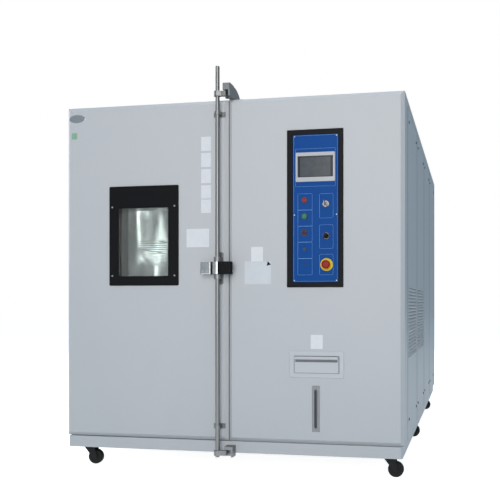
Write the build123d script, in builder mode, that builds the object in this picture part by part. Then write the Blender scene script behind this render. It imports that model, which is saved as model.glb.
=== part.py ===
"""Free-standing temperature and humidity test chamber on six casters.

Frame: +Z up from the floor, -Y towards the person at the door, +X to that person's right.
The origin is on the floor, under the middle of the chamber's bounding box. Millimetres.
"""
import os

from build123d import *

# Cabinet
cabinet_w = 1700.0
cabinet_h = 1700.0
cabinet_d = 2550.0
caster_h = 100.0
plinth_h = 55.0
plinth_inset = 10.0
front_gap = 3.0
edge_bevel = 18.0
skin_t = 2.0
liner_t = 1.5
frame_t = 2.0
wall_t = 100.0
seat_gap = 0.3
seam = 3.0

# Reach of what stands out of the cabinet, which centres it on the origin
hinge_r = 9.0
hinge_offset = 14.0
hinge_out = hinge_offset + hinge_r
screw_head_t = 3.0
rod_standoff = 30.0
grip_front = 58.0
rear_guard_t = 12.0

# Door and its seal
door_t = 100.0
seal_gap = 6.0

# Derived planes of the cabinet
x_left = -(cabinet_w + hinge_out + screw_head_t) / 2 + hinge_out
x_right = x_left + cabinet_w
y_front = -(cabinet_d + grip_front + rear_guard_t) / 2 + grip_front
y_rear = y_front + cabinet_d
z_plinth = caster_h
z_body = caster_h + plinth_h
z_top = caster_h + cabinet_h
half_w = (cabinet_w - front_gap) / 2
x_door_end = x_left + half_w
x_machine = x_right - half_w
y_body = y_front + door_t + seal_gap

# Test space
motor_bay_d = 260.0
y_chamber_back = y_rear - motor_bay_d
x_in_left = x_left + wall_t
x_in_right = x_door_end - wall_t
z_in_low = z_body + wall_t
z_in_high = z_top - wall_t
y_in_back = y_chamber_back - wall_t
duct_d = 420.0
baffle_t = 2.0
y_baffle = y_in_back - duct_d


def block(x, y, z, mode=Mode.ADD):
    """Box that fills the spans x, y and z, each a (low, high) pair."""
    with Locations(((x[0] + x[1]) / 2, (y[0] + y[1]) / 2, (z[0] + z[1]) / 2)):
        Box(x[1] - x[0], y[1] - y[0], z[1] - z[0], mode=mode)


def rod_between(center, radius, low, high, axis="z", mode=Mode.ADD):
    """Round bar along one axis from low to high, with its centre line at the other two values."""
    turn = {"x": (0, 90, 0), "y": (-90, 0, 0), "z": (0, 0, 0)}[axis]
    spot = {
        "x": (low, center[0], center[1]),
        "y": (center[0], low, center[1]),
        "z": (center[0], center[1], low),
    }[axis]
    with Locations(Location(spot, turn)):
        Cylinder(radius, high - low, align=(Align.CENTER, Align.CENTER, Align.MIN), mode=mode)


def save(builder, name):
    """Label one finished piece and write its file."""
    builder.part.label = name
    export_step(builder.part, f"parts/{name}.step")


os.makedirs("parts", exist_ok=True)

# Plinth: rails welded into a rectangle, with a middle rail and two cross rails over the casters
rail_w = 100.0
weld_gap = 0.2
caster_inset_x = 80.0
caster_ys = [y_front + 85.0, y_front + 1090.0, y_front + 2190.0]
px = (x_left + plinth_inset, x_right - plinth_inset)
py = (y_front + plinth_inset, y_rear - plinth_inset)
pz = (z_plinth, z_body)
x_mid = (x_door_end + x_machine) / 2
inner_x = (px[0] + rail_w, px[1] - rail_w)
left_bay = (inner_x[0], x_mid - rail_w / 2)
right_bay = (x_mid + rail_w / 2, inner_x[1])
cross_ys = [(y - rail_w / 2, y + rail_w / 2) for y in caster_ys[1:]]
with BuildPart() as base_frame:
    block((px[0], inner_x[0]), py, pz)
    block((inner_x[1], px[1]), py, pz)
    block((left_bay[1], right_bay[0]), py, pz)
    for bay in (left_bay, right_bay):
        span = (bay[0] + weld_gap, bay[1] - weld_gap)
        for cross in [(py[0], py[0] + rail_w), (py[1] - rail_w, py[1]), *cross_ys]:
            block(span, cross, pz)
    chamfer(base_frame.edges().filter_by(Axis.Z).group_by(Axis.X)[-1], 8.0)
save(base_frame, "base_frame")

# Casters: fixed top plates, swivel forks that trail their wheels, solid rubber-tyred wheels
plate_w = 72.0
plate_t = 5.0
race_r = 24.0
race_h = 9.0
stem_r = 5.0
wheel_r = 37.5
wheel_w = 30.0
trail = 32.0
fork_t = 3.0
fork_clear = 2.5
axle_r = 4.0
axle_fit = 0.08
tread_r = 8.0
caster_turns = [4.0, -4.0, 7.0, -6.0, 3.0, 9.0]
caster_xs = [x_left + caster_inset_x, x_right - caster_inset_x]
caster_spots = [(x, y) for y in caster_ys for x in caster_xs]
z_race = z_plinth - plate_t
with BuildPart() as caster_plates:
    for x, y in caster_spots:
        with BuildSketch(Plane.XY.offset(z_race)):
            with Locations((x, y)):
                RectangleRounded(plate_w, plate_w, 6)
        extrude(amount=plate_t)
        rod_between((x, y), stem_r, z_race - race_h - 4, z_race)
save(caster_plates, "caster_plates")

z_fork = z_race - seat_gap
for number, ((cx, cy), turn) in enumerate(zip(caster_spots, caster_turns), 1):
    swivel = Plane(origin=(cx, cy, 0), x_dir=Vector(1, 0, 0).rotate(Axis.Z, turn), z_dir=(0, 0, 1))
    gap = wheel_w / 2 + fork_clear
    side = Plane(origin=swivel.origin, x_dir=swivel.x_dir, z_dir=-swivel.y_dir)
    with BuildPart() as fork:
        with BuildSketch(swivel.offset(z_fork)):
            Circle(race_r)
            Circle(stem_r + axle_fit, mode=Mode.SUBTRACT)
        extrude(amount=-race_h)
        for way in (1, -1):
            with BuildSketch(side.offset(way * (gap + fork_t / 2))):
                with BuildLine():
                    start = Line((-race_r + 2, z_fork - race_h + 3), (race_r + 6, z_fork - race_h + 3))
                    down = Line(start @ 1, (trail + 12, wheel_r + 2))
                    bow = ThreePointArc(down @ 1, (trail + 1, wheel_r - 12), (trail - 11, wheel_r - 2))
                    Line(bow @ 1, start @ 0)
                make_face()
            extrude(amount=fork_t / 2, both=True)
        with BuildSketch(swivel.offset(z_fork - race_h + 3)):
            with Locations((5, 0)):
                Rectangle(2 * race_r - 4, 2 * gap + 2 * fork_t)
            Circle(stem_r + axle_fit, mode=Mode.SUBTRACT)
        extrude(amount=-fork_t)
        with BuildSketch(side.offset(-gap - fork_t)):
            with Locations((trail, wheel_r)):
                Circle(axle_r)
        extrude(amount=2 * gap + 2 * fork_t)
    save(fork, f"caster_fork_{number}")
    with BuildPart() as wheel:
        with BuildSketch(side.offset(-wheel_w / 2)):
            with Locations((trail, wheel_r)):
                Circle(wheel_r)
        extrude(amount=wheel_w)
        fillet(wheel.edges().filter_by(GeomType.CIRCLE), tread_r)
        with BuildSketch(side.offset(-wheel_w / 2)):
            with Locations((trail, wheel_r)):
                Circle(axle_r + axle_fit)
        extrude(amount=wheel_w, mode=Mode.SUBTRACT)
    save(wheel, f"caster_wheel_{number}")

# Test chamber walls: painted outer skin, foam slabs and a welded stainless liner
port_r = 25.0
port_wall = 2.0
port_flange_r = 42.0
port_flange_t = 4.0
board_gap = 0.2
port_y = y_body + 900.0
port_z = z_body + 1050.0
shaft_r = 9.0
shaft_hole_r = 13.0
fan_z = z_in_high - 330.0
fan_x = (x_in_left + x_in_right) / 2
skin_x = (x_left, x_door_end)
skin_y = (y_body, y_chamber_back)
skin_z = (z_body, z_top)
with BuildPart() as chamber_skin:
    block(skin_x, skin_y, skin_z)
    block(
        (skin_x[0] + skin_t, skin_x[1] - skin_t),
        (skin_y[0] - skin_t, skin_y[1] - skin_t),
        (skin_z[0] + skin_t, skin_z[1] - skin_t),
        mode=Mode.SUBTRACT,
    )
    rod_between((port_y, port_z), port_r + port_wall, x_left - 1, x_left + skin_t + 1, "x", Mode.SUBTRACT)
    rod_between((fan_x, fan_z), shaft_hole_r, skin_y[1] - skin_t - 1, skin_y[1] + 1, "y", Mode.SUBTRACT)
save(chamber_skin, "chamber_skin")

foam_x = (x_left + skin_t, x_in_left - liner_t)
foam_x2 = (x_in_right + liner_t, x_door_end - skin_t)
foam_y = (y_body, y_chamber_back - skin_t)
foam_z = (z_body + skin_t, z_top - skin_t)
wall_z = (z_in_low - liner_t, z_in_high + liner_t)
back_y = (y_in_back + liner_t, foam_y[1])
port_hole = port_r + port_wall + 1.0
port_ys = (port_y - port_hole, port_y + port_hole)
port_zs = (port_z - port_hole, port_z + port_hole)
boards_z = (wall_z[0] + board_gap, wall_z[1] - board_gap)
with BuildPart() as chamber_insulation:
    block((foam_x[0], foam_x2[1]), foam_y, (foam_z[0], wall_z[0]))
    block((foam_x[0], foam_x2[1]), foam_y, (wall_z[1], foam_z[1]))
    block((foam_x[1] + board_gap, foam_x2[0] - board_gap), back_y, boards_z)
    rod_between((fan_x, fan_z), shaft_hole_r, back_y[0] - 1, back_y[1] + 1, "y", Mode.SUBTRACT)
    block(foam_x2, foam_y, boards_z)
    block(foam_x, (foam_y[0], port_ys[0] - board_gap), boards_z)
    block(foam_x, (port_ys[1] + board_gap, foam_y[1]), boards_z)
    block(foam_x, port_ys, (boards_z[0], port_zs[0]))
    block(foam_x, port_ys, (port_zs[1], boards_z[1]))
save(chamber_insulation, "chamber_insulation")

throat_y = (y_body - frame_t, y_body)
with BuildPart() as chamber_liner:
    block(
        (x_in_left - liner_t, x_in_right + liner_t),
        (y_body, y_in_back + liner_t),
        (z_in_low - liner_t, z_in_high + liner_t),
    )
    block((x_left, x_door_end), throat_y, (z_body, z_top))
    block((x_in_left, x_in_right), (throat_y[0] - 1, y_in_back), (z_in_low, z_in_high), mode=Mode.SUBTRACT)
    rod_between(
        (port_y, port_z), port_r + port_wall, x_in_left - liner_t - 1, x_in_left + 1, "x", Mode.SUBTRACT
    )
    rod_between((fan_x, fan_z), shaft_hole_r, y_in_back - 1, y_in_back + liner_t + 1, "y", Mode.SUBTRACT)
save(chamber_liner, "chamber_liner")

with BuildPart() as cable_port:
    rod_between((port_y, port_z), port_r + port_wall, x_left, x_in_left, "x")
    rod_between((port_y, port_z), port_flange_r, x_left - port_flange_t, x_left, "x")
    rod_between((port_y, port_z), port_flange_r, x_in_left, x_in_left + port_flange_t, "x")
    rod_between(
        (port_y, port_z), port_r, x_left - port_flange_t - 1, x_in_left + port_flange_t + 1, "x", Mode.SUBTRACT
    )
save(cable_port, "cable_port")

# Silicone seal on the throat frame
seal_inset = 14.0
seal_w = 34.0
seal_out_w = x_in_right - x_in_left + 2 * (seal_inset + seal_w)
seal_out_h = z_in_high - z_in_low + 2 * (seal_inset + seal_w)
with BuildPart() as door_seal:
    with BuildSketch(Plane.XZ.offset(-throat_y[0])):
        with Locations((fan_x, (z_in_low + z_in_high) / 2)):
            RectangleRounded(seal_out_w, seal_out_h, 30)
            RectangleRounded(seal_out_w - 2 * seal_w, seal_out_h - 2 * seal_w, 8, mode=Mode.SUBTRACT)
    extrude(amount=seal_gap - frame_t - seat_gap)
save(door_seal, "door_seal")

# Air treatment at the back: baffle with supply and return mouths, coil, heater and fan
baffle_foot = 140.0
supply_h = 120.0
coil_w = 480.0
coil_h = 420.0
coil_d = 120.0
coil_z = z_in_low + 190.0
fan_r = 150.0
fan_d = 70.0
fan_y = y_baffle + 170.0
with BuildPart() as air_baffle:
    with BuildSketch(Plane.XZ.offset(-y_baffle)):
        with Locations((fan_x, (z_in_low + z_in_high) / 2)):
            Rectangle(x_in_right - x_in_left - 2 * seat_gap, z_in_high - z_in_low - 2 * seat_gap)
        with Locations((fan_x, z_in_low + baffle_foot / 2 + 30)):
            Rectangle(x_in_right - x_in_left - 120, baffle_foot, mode=Mode.SUBTRACT)
        with GridLocations(0, 40, 1, 3):
            with Locations((fan_x, z_in_high - supply_h)):
                SlotOverall(x_in_right - x_in_left - 120, 26, mode=Mode.SUBTRACT)
    extrude(amount=-baffle_t)

fin_pitch = 24.0
tube_r = 8.0
coil_y = (y_baffle + 150.0, y_baffle + 150.0 + coil_d)
coil_x = (fan_x - coil_w / 2, fan_x + coil_w / 2)
fin_count = int(coil_w // fin_pitch)
with BuildPart() as evaporator:
    add(air_baffle.part)
    for row_y in (coil_y[0] + coil_d / 3, coil_y[0] + 2 * coil_d / 3):
        for step in range(4):
            tube_z = coil_z + coil_h * (step + 0.5) / 4
            rod_between((row_y, tube_z), tube_r, coil_x[0], coil_x[1], "x")
    for step in range(fin_count + 1):
        fin_x = coil_x[0] + step * (coil_w - 1.5) / fin_count
        block((fin_x, fin_x + 1.5), coil_y, (coil_z, coil_z + coil_h))
    for leg_x in (coil_x[0], coil_x[1] - 20):
        block((leg_x, leg_x + 20), coil_y, (z_in_low, coil_z))

heater_r = 5.0
heater_z = coil_z + coil_h + 90.0
heater_reach = 170.0
with BuildPart() as heater:
    add(evaporator.part)
    for step in range(3):
        with BuildPart(mode=Mode.PRIVATE) as loop:
            with BuildLine():
                loop_y = y_in_back
                loop_x = fan_x - 150 + 150 * step
                Polyline(
                    (loop_x - 40, loop_y, heater_z),
                    (loop_x - 40, loop_y - heater_reach, heater_z),
                    (loop_x + 40, loop_y - heater_reach, heater_z),
                    (loop_x + 40, loop_y, heater_z),
                )
            with BuildSketch(Plane(origin=(loop_x - 40, loop_y, heater_z), z_dir=(0, -1, 0))):
                Circle(heater_r)
            sweep(transition=Transition.RIGHT)
        add(loop.part)
save(heater, "air_treatment")

blade_count = 10
hub_r = 24.0
with BuildPart() as fan_wheel:
    with BuildSketch(Plane.XZ.offset(-fan_y)):
        with Locations((fan_x, fan_z)):
            Circle(fan_r)
    extrude(amount=-3)
    rod_between((fan_x, fan_z), hub_r, fan_y, fan_y + fan_d, "y")
    with BuildSketch(Plane.XZ.offset(-fan_y)):
        with Locations((fan_x, fan_z)):
            with PolarLocations(fan_r - 28, blade_count):
                with Locations(Rotation(0, 0, 35)):
                    Rectangle(52, 3)
    extrude(amount=-fan_d)
    with BuildSketch(Plane.XZ.offset(-fan_y - fan_d + 3)):
        with Locations((fan_x, fan_z)):
            Circle(fan_r)
            Circle(fan_r - 52, mode=Mode.SUBTRACT)
    extrude(amount=-3)
    rod_between((fan_x, fan_z), shaft_r, fan_y + fan_d, y_chamber_back + 18, "y")
save(fan_wheel, "circulation_fan")

motor_r = 62.0
motor_l = 150.0
motor_y = y_chamber_back + 20.0
with BuildPart() as fan_motor:
    block((fan_x - 90, fan_x - 78), (y_chamber_back, motor_y + 90), (fan_z - 80, fan_z + 80))
    block((fan_x + 78, fan_x + 90), (y_chamber_back, motor_y + 90), (fan_z - 80, fan_z + 80))
    block((fan_x - 90, fan_x + 90), (motor_y, motor_y + 4), (fan_z - 80, fan_z + 80))
    rod_between((fan_x, fan_z), motor_r, motor_y + 4, motor_y + motor_l, "y")
    fillet(fan_motor.faces().sort_by(Axis.Y)[-1].edges(), 10)
save(fan_motor, "circulation_motor")

# Shelf rack inside: two pairs of slotted uprights, and two wire shelves on their cleats
upright_w = 20.0
upright_t = 6.0
shelf_zs = [z_in_low + 420.0, z_in_low + 880.0]
cleat_t = 4.0
rack_ys = [y_body + 160.0, y_baffle - 180.0]
shelf_side = 12.0
with BuildPart() as shelf_uprights:
    for rack_y in rack_ys:
        for x_low, inward in ((x_in_left, 1), (x_in_right - upright_t, -1)):
            y_span = (rack_y - upright_w / 2, rack_y + upright_w / 2)
            block((x_low, x_low + upright_t), y_span, (z_in_low, z_in_high))
            for shelf_z in shelf_zs:
                tip = (x_low + upright_t, x_low + upright_t + 22) if inward > 0 else (x_low - 22, x_low)
                block(tip, y_span, (shelf_z - cleat_t, shelf_z))

wire_r = 3.0
shelf_x = (x_in_left + upright_t + shelf_side, x_in_right - upright_t - shelf_side)
shelf_y = (y_body + 60.0, y_baffle - 80.0)
with BuildPart() as wire_shelves:
    add(shelf_uprights.part)
    for shelf_z in shelf_zs:
        wire_z = shelf_z + wire_r
        for wire_x in (shelf_x[0], (shelf_x[0] + shelf_x[1]) / 2, shelf_x[1]):
            block((wire_x - wire_r, wire_x + wire_r), shelf_y, (shelf_z + seat_gap, shelf_z + 2 * wire_r))
        for step in range(13):
            wire_y = shelf_y[0] + wire_r + step * (shelf_y[1] - shelf_y[0] - 2 * wire_r) / 12
            block(
                (shelf_x[0] - wire_r, shelf_x[1] + wire_r),
                (wire_y - wire_r, wire_y + wire_r),
                (wire_z, wire_z + 1.5 * wire_r),
            )
save(wire_shelves, "shelf_rack")

# Door: bevelled steel pan, foam filling, stainless inner plate, and the window through them
bezel_w = 364.0
bezel_h = 490.0
bezel_t = 5.0
bezel_x = x_left + 235.0
bezel_z = z_plinth + 806.0
glass_w = 260.0
glass_h = 334.0
glass_side = 50.0
glass_foot = 47.0
pane_t = 5.0
tunnel_t = 3.0
inner_plate_t = 1.5
door_z = (z_body + seam, z_top)
door_back = y_front + door_t
win_x = (bezel_x + glass_side, bezel_x + glass_side + glass_w)
win_z = (bezel_z + glass_foot, bezel_z + glass_foot + glass_h)
win_c = ((win_x[0] + win_x[1]) / 2, (win_z[0] + win_z[1]) / 2)
cut_x = (win_x[0] - tunnel_t, win_x[1] + tunnel_t)
cut_z = (win_z[0] - tunnel_t, win_z[1] + tunnel_t)
core_x = (x_left + skin_t, x_door_end - skin_t)
core_y = (y_front + skin_t, door_back - inner_plate_t)
core_z = (door_z[0] + skin_t, door_z[1] - skin_t)
with BuildPart() as door_core:
    block(core_x, core_y, core_z)
    chamfer(door_core.faces().sort_by(Axis.Y)[0].edges(), edge_bevel)

with BuildPart() as door_skin:
    block((x_left, x_door_end), (y_front, door_back - inner_plate_t), door_z)
    chamfer(door_skin.faces().sort_by(Axis.Y)[0].edges(), edge_bevel)
    add(door_core.part, mode=Mode.SUBTRACT)
    block(cut_x, (y_front - 1, door_back), cut_z, mode=Mode.SUBTRACT)
save(door_skin, "door_skin")

with BuildPart() as door_foam:
    block((core_x[0], cut_x[0] - board_gap), core_y, core_z)
    block((cut_x[1] + board_gap, core_x[1]), core_y, core_z)
    block(cut_x, core_y, (core_z[0], cut_z[0]))
    block(cut_x, core_y, (cut_z[1], core_z[1]))
    add(door_core.part, mode=Mode.INTERSECT)
save(door_foam, "door_foam")

with BuildPart() as door_inner_plate:
    with BuildSketch(Plane.XZ.offset(-door_back)):
        with Locations(((x_left + x_door_end) / 2, (door_z[0] + door_z[1]) / 2)):
            Rectangle(half_w, door_z[1] - door_z[0])
        with Locations(win_c):
            Rectangle(glass_w + 2 * tunnel_t, glass_h + 2 * tunnel_t, mode=Mode.SUBTRACT)
    extrude(amount=inner_plate_t)
    with BuildSketch(Plane.XZ.offset(-y_front)):
        with Locations(win_c):
            Rectangle(glass_w + 2 * tunnel_t, glass_h + 2 * tunnel_t)
            Rectangle(glass_w, glass_h, mode=Mode.SUBTRACT)
    extrude(amount=-door_t)
save(door_inner_plate, "door_inner_plate")

with BuildPart() as window_bezel:
    with BuildSketch(Plane.XZ.offset(-y_front)):
        with Locations((bezel_x + bezel_w / 2, bezel_z + bezel_h / 2)):
            RectangleRounded(bezel_w, bezel_h, 6)
        with Locations(win_c):
            RectangleRounded(glass_w, glass_h, 5, mode=Mode.SUBTRACT)
    extrude(amount=bezel_t)
    fillet(window_bezel.faces().sort_by(Axis.Y)[0].edges(), 1.5)
save(window_bezel, "window_bezel")

pane_ys = [y_front + 8.0, y_front + 45.0, door_back - pane_t - 3.0]
with BuildPart() as window_panes:
    for pane_y in pane_ys:
        with BuildSketch(Plane.XZ.offset(-pane_y)):
            with Locations(win_c):
                Rectangle(glass_w, glass_h)
        extrude(amount=-pane_t)
save(window_panes, "window_panes")

# Hinges on the door's left edge: leaves with split barrels, and one pin in each
hinge_x = x_left - hinge_offset
hinge_y = door_back + seal_gap / 2
hinge_h = 120.0
leaf_t = 4.0
pin_r = 5.0
pin_fit = 0.08
knuckle_gap = 0.6
hinge_zs = [z_body + 190.0, (z_body + z_top) / 2, z_top - 190.0]
with BuildPart() as hinge_door_leaves:
    for hinge_z in hinge_zs:
        leaf_z = (hinge_z - hinge_h / 2, hinge_z + hinge_h / 2)
        upper = (hinge_z + knuckle_gap / 2, hinge_z + hinge_h / 2)
        block((x_left - leaf_t, x_left), (hinge_y - 70, hinge_y - 8), leaf_z)
        block((hinge_x, x_left), (hinge_y - 14, hinge_y - 8 + leaf_t), upper)
        rod_between((hinge_x, hinge_y), hinge_r, upper[0], upper[1])
        rod_between((hinge_x, hinge_y), pin_r + pin_fit, upper[0] - 1, upper[1] + 1, "z", Mode.SUBTRACT)
save(hinge_door_leaves, "hinge_door_leaves")

with BuildPart() as hinge_body_leaves:
    for hinge_z in hinge_zs:
        leaf_z = (hinge_z - hinge_h / 2, hinge_z + hinge_h / 2)
        lower = (hinge_z - hinge_h / 2, hinge_z - knuckle_gap / 2)
        block((x_left - leaf_t, x_left), (hinge_y + 11, hinge_y + 70), leaf_z)
        block((hinge_x, x_left), (hinge_y + 4, hinge_y + 14), lower)
        rod_between((hinge_x, hinge_y), hinge_r, lower[0], lower[1])
        rod_between((hinge_x, hinge_y), pin_r, lower[1], hinge_z + hinge_h / 2 + 3)
save(hinge_body_leaves, "hinge_body_leaves")

# Door lock: a full-height rod in guides, turned by a lever, with a claw at each end
rod_r = 10.0
rod_fit = 0.08
rod_dx = 41.0
rod_x = x_door_end + front_gap / 2 - rod_dx
rod_y = y_front - rod_standoff
rod_low = z_plinth - 14.0
rod_high = z_top + 150.0
rod_at = (rod_x, rod_y)
lever_z = z_plinth + 887.0
claw_t = 24.0
claw_reach = 48.0
claw_w = 17.0
top_claw_z = z_top + 6.0
hub_outer_r = 18.0
hub_z = (lever_z - 30.0, lever_z + 30.0)
low_claw_z = z_plinth - 6.0
with BuildPart() as lock_rod:
    rod_between(rod_at, rod_r, rod_low, rod_high)
    chamfer(lock_rod.edges().filter_by(GeomType.CIRCLE).group_by(Axis.Z)[-1], 2)
save(lock_rod, "lock_rod")

with BuildPart() as lock_claws:
    for claw_z in (top_claw_z, low_claw_z):
        with BuildSketch(Plane.XY.offset(claw_z)):
            with BuildLine():
                heel = Line((rod_x, rod_y - 17), (rod_x + 20, rod_y - claw_w / 2))
                edge = Line(heel @ 1, (rod_x + claw_reach - 8, rod_y - claw_w / 2))
                tip = (rod_x + claw_reach, rod_y + 3)
                nose = ThreePointArc(edge @ 1, tip, (rod_x + claw_reach - 5, rod_y + 14))
                hook = Line(nose @ 1, (rod_x + claw_reach - 14, rod_y + 12))
                root = Line(hook @ 1, (rod_x + 18, rod_y + claw_w / 2 - 2))
                back = Line(root @ 1, (rod_x, rod_y + 17))
                ThreePointArc(back @ 1, (rod_x - 17, rod_y), heel @ 0)
            make_face()
            with Locations(rod_at):
                Circle(rod_r, mode=Mode.SUBTRACT)
        extrude(amount=claw_t)
    rod_between(rod_at, hub_outer_r, hub_z[0], hub_z[1])
    rod_between(rod_at, rod_r, hub_z[0] - 1, hub_z[1] + 1, "z", Mode.SUBTRACT)
save(lock_claws, "lock_claws_and_hub")

grip_end = 80.0
grip_half = 14.0
grip_back = grip_front - rod_standoff - 2 * grip_half
grip_y = rod_y - grip_back - grip_half
with BuildPart() as lever_grip:
    with BuildSketch(Plane.XY.offset(hub_z[0])):
        with BuildLine():
            low_edge = Line((rod_x + 2, rod_y - hub_outer_r - 4), (rod_x + 24, y_front - grip_front))
            front_edge = Line(low_edge @ 1, (rod_x + grip_end - 10, y_front - grip_front))
            tip = ThreePointArc(
                front_edge @ 1,
                (rod_x + grip_end, grip_y),
                (rod_x + grip_end - 10, grip_y + grip_half),
            )
            back_edge = Line(tip @ 1, (rod_x + hub_outer_r + 4, grip_y + grip_half))
            seat = Line(back_edge @ 1, (rod_x + hub_outer_r + 4, rod_y + 6))
            Line(seat @ 1, (rod_x + 2, rod_y + 6))
            Line((rod_x + 2, rod_y + 6), low_edge @ 0)
        make_face()
        with Locations(rod_at):
            Circle(hub_outer_r, mode=Mode.SUBTRACT)
    extrude(amount=hub_z[1] - hub_z[0])
    fillet(lever_grip.faces().sort_by(Axis.Y)[0].edges().filter_by(Axis.X), 4)
save(lever_grip, "lever_grip")

lock_plate_w = 38.0
lock_plate_h = 154.0
lock_plate_t = 4.0
bearing_h = 22.0
bearing_w = 34.0
guide_zs = [z_plinth + 130.0, z_plinth + 1626.0]
guide_w = 58.0
guide_h = 24.0
with BuildPart() as rod_guides:
    with BuildSketch(Plane.XZ.offset(-y_front)):
        with Locations((rod_x, lever_z)):
            RectangleRounded(lock_plate_w, lock_plate_h, 8)
    extrude(amount=lock_plate_t)
    for z_low in (hub_z[0] - seat_gap - bearing_h, hub_z[1] + seat_gap):
        with BuildSketch(Plane.XY.offset(z_low)):
            with Locations((rod_x, y_front - rod_standoff / 2)):
                Rectangle(bearing_w, rod_standoff)
            with Locations(rod_at):
                Circle(bearing_w / 2)
        extrude(amount=bearing_h)
    for spot_z in (lever_z - lock_plate_h / 2 + 10, lever_z + lock_plate_h / 2 - 10):
        rod_between((rod_x, spot_z), 6.5, y_front - lock_plate_t - 5, y_front - lock_plate_t, "y")
    rod_between(rod_at, rod_r + rod_fit, hub_z[0] - 60, hub_z[1] + 60, "z", Mode.SUBTRACT)
    for guide_z in guide_zs:
        block(
            (rod_x - guide_w / 2, rod_x + guide_w / 2),
            (y_front - 4, y_front),
            (guide_z - guide_h / 2, guide_z + guide_h / 2),
        )
        with BuildSketch(Plane.XY.offset(guide_z - guide_h / 2 + 4)):
            with Locations((rod_x, y_front - rod_standoff / 2)):
                Rectangle(2 * rod_r + 8, rod_standoff)
            with Locations(rod_at):
                Circle(rod_r + 4)
        extrude(amount=guide_h - 8)
        for way in (1, -1):
            rod_between((rod_x + way * 22, guide_z), 5.0, y_front - 9, y_front - 4, "y")
        rod_between(rod_at, rod_r + rod_fit, guide_z - guide_h, guide_z + guide_h, "z", Mode.SUBTRACT)
save(rod_guides, "rod_guides")

case_gap = 10.0
case_w = 54.0
case_h = 60.0
case_t = 50.0
case_x = (rod_x - hub_outer_r - case_gap - case_w, rod_x - hub_outer_r - case_gap)
with BuildPart() as lock_case:
    block(case_x, (y_front - case_t, y_front), (lever_z - case_h / 2, lever_z + case_h / 2))
    fillet(lock_case.faces().sort_by(Axis.X)[0].edges().filter_by(Axis.Z), 12)
    fillet(lock_case.faces().sort_by(Axis.Y)[0].edges(), 4)
save(lock_case, "lock_case")

# Keepers that the claws swing into, one over the roof on a curved bracket, one on the plinth
keeper_x = (rod_x + 30.0, rod_x + 67.0)
keeper_wall = 9.0
keeper_h = 61.0
keeper_front = 45.0
keeper_back = 10.0
with BuildPart() as top_keeper:
    top_y = (y_front - keeper_front, y_front + keeper_back)
    top_z = (z_top + 4.0, z_top + 4.0 + keeper_h)
    throat_z = (top_z[0], top_claw_z + claw_t + 3)
    block(keeper_x, top_y, (throat_z[1] + weld_gap, top_z[1]))
    chamfer(top_keeper.faces().sort_by(Axis.Y)[0].edges().filter_by(Axis.Z), 3)
    block((keeper_x[1] - keeper_wall, keeper_x[1]), top_y, throat_z)
    block((keeper_x[0], keeper_x[1] - keeper_wall - weld_gap), (y_front - 6, top_y[1]), throat_z)
bracket_d = 97.0
bracket_w = 23.0
bracket_t = 5.0
bracket_x = (keeper_x[1] - bracket_w, keeper_x[1])
with BuildPart() as keeper_bracket:
    back = y_front + keeper_back + weld_gap
    with BuildSketch(Plane.YZ.offset(bracket_x[0])):
        with BuildLine():
            Line((back, z_top), (back + bracket_d, z_top))
            crown = (back + 0.71 * bracket_d, z_top + 0.71 * keeper_h)
            Spline(
                (back + bracket_d, z_top),
                crown,
                (back, z_top + keeper_h),
                tangents=[(0, 1), (-1, 0)],
            )
            Line((back, z_top + keeper_h), (back, z_top))
        make_face()
    extrude(amount=bracket_w)
    foot_x = (bracket_x[1] + weld_gap, bracket_x[1] + 40)
    block(foot_x, (back + 20, back + bracket_d), (z_top, z_top + bracket_t))
    bolt_x = bracket_x[1] + 20
    bolt_z = z_top + bracket_t
    with Locations((bolt_x, back + 40, bolt_z), (bolt_x, back + 78, bolt_z)):
        Cylinder(6, 5, align=(Align.CENTER, Align.CENTER, Align.MIN))

with BuildPart() as lock_keepers:
    add(keeper_bracket.part)
    add(top_keeper.part)
    low_y = (y_front - 35.0, y_front + plinth_inset)
    low_z = (z_plinth - 13.0, z_plinth + 37.0)
    low_x = (rod_x + 36.0, rod_x + 77.0)
    low_throat_z = (low_z[0], low_claw_z + claw_t + 3)
    block(low_x, low_y, (low_throat_z[1] + weld_gap, low_z[1]))
    block((low_x[1] - keeper_wall, low_x[1]), low_y, low_throat_z)
    block((low_x[0], low_x[1] - keeper_wall - weld_gap), (y_front - 4, low_y[1]), low_throat_z)
save(lock_keepers, "lock_keepers")

# Machine side: floor pan, corner columns and rails, then the front, roof, rear and side panels
panel_pitch = 568.0
panel_count = 4
column_front = 160.0
return_d = 25.0
post_w = 40.0
roof_side = 30.0
flange = 15.0
machine_y = (y_front + return_d, y_rear)
panel_ys = [y_front + column_front + step * panel_pitch for step in range(panel_count + 1)]
floor_t = 3.0
post_z = (z_body + floor_t, z_top - skin_t - seat_gap)
post_x = (x_right - flange - post_w, x_right - flange)
frame_z = (post_z[0] + weld_gap, post_z[1])
rail_zs = (frame_z[0] + weld_gap, z_top - roof_side - 70)
column_ys = ((machine_y[0], panel_ys[0] - seam / 2), (panel_ys[-1] + seam / 2, y_rear - skin_t))
with BuildPart() as machine_frame:
    block((x_machine, x_right - skin_t), (machine_y[0], machine_y[1] - skin_t), (z_body, z_body + floor_t))
    with BuildSketch(Plane.XY.offset(frame_z[0])):
        for y_low, y_high in column_ys:
            with Locations((x_right - skin_t / 2, (y_low + y_high) / 2)):
                Rectangle(skin_t, y_high - y_low)
            with Locations((x_right - post_w / 2, (y_low + y_high) / 2)):
                Rectangle(post_w, 2 * skin_t)
    extrude(amount=frame_z[1] - frame_z[0])
    for post_y in panel_ys[1:-1]:
        block(post_x, (post_y - post_w / 2, post_y + post_w / 2), frame_z)
    for rail_z in rail_zs:
        for step in range(panel_count):
            reach = post_w / 2 + weld_gap
            ends = (panel_ys[step] + reach, panel_ys[step + 1] - reach)
            block(post_x, ends, (rail_z, rail_z + post_w))
save(machine_frame, "machine_frame")

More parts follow.
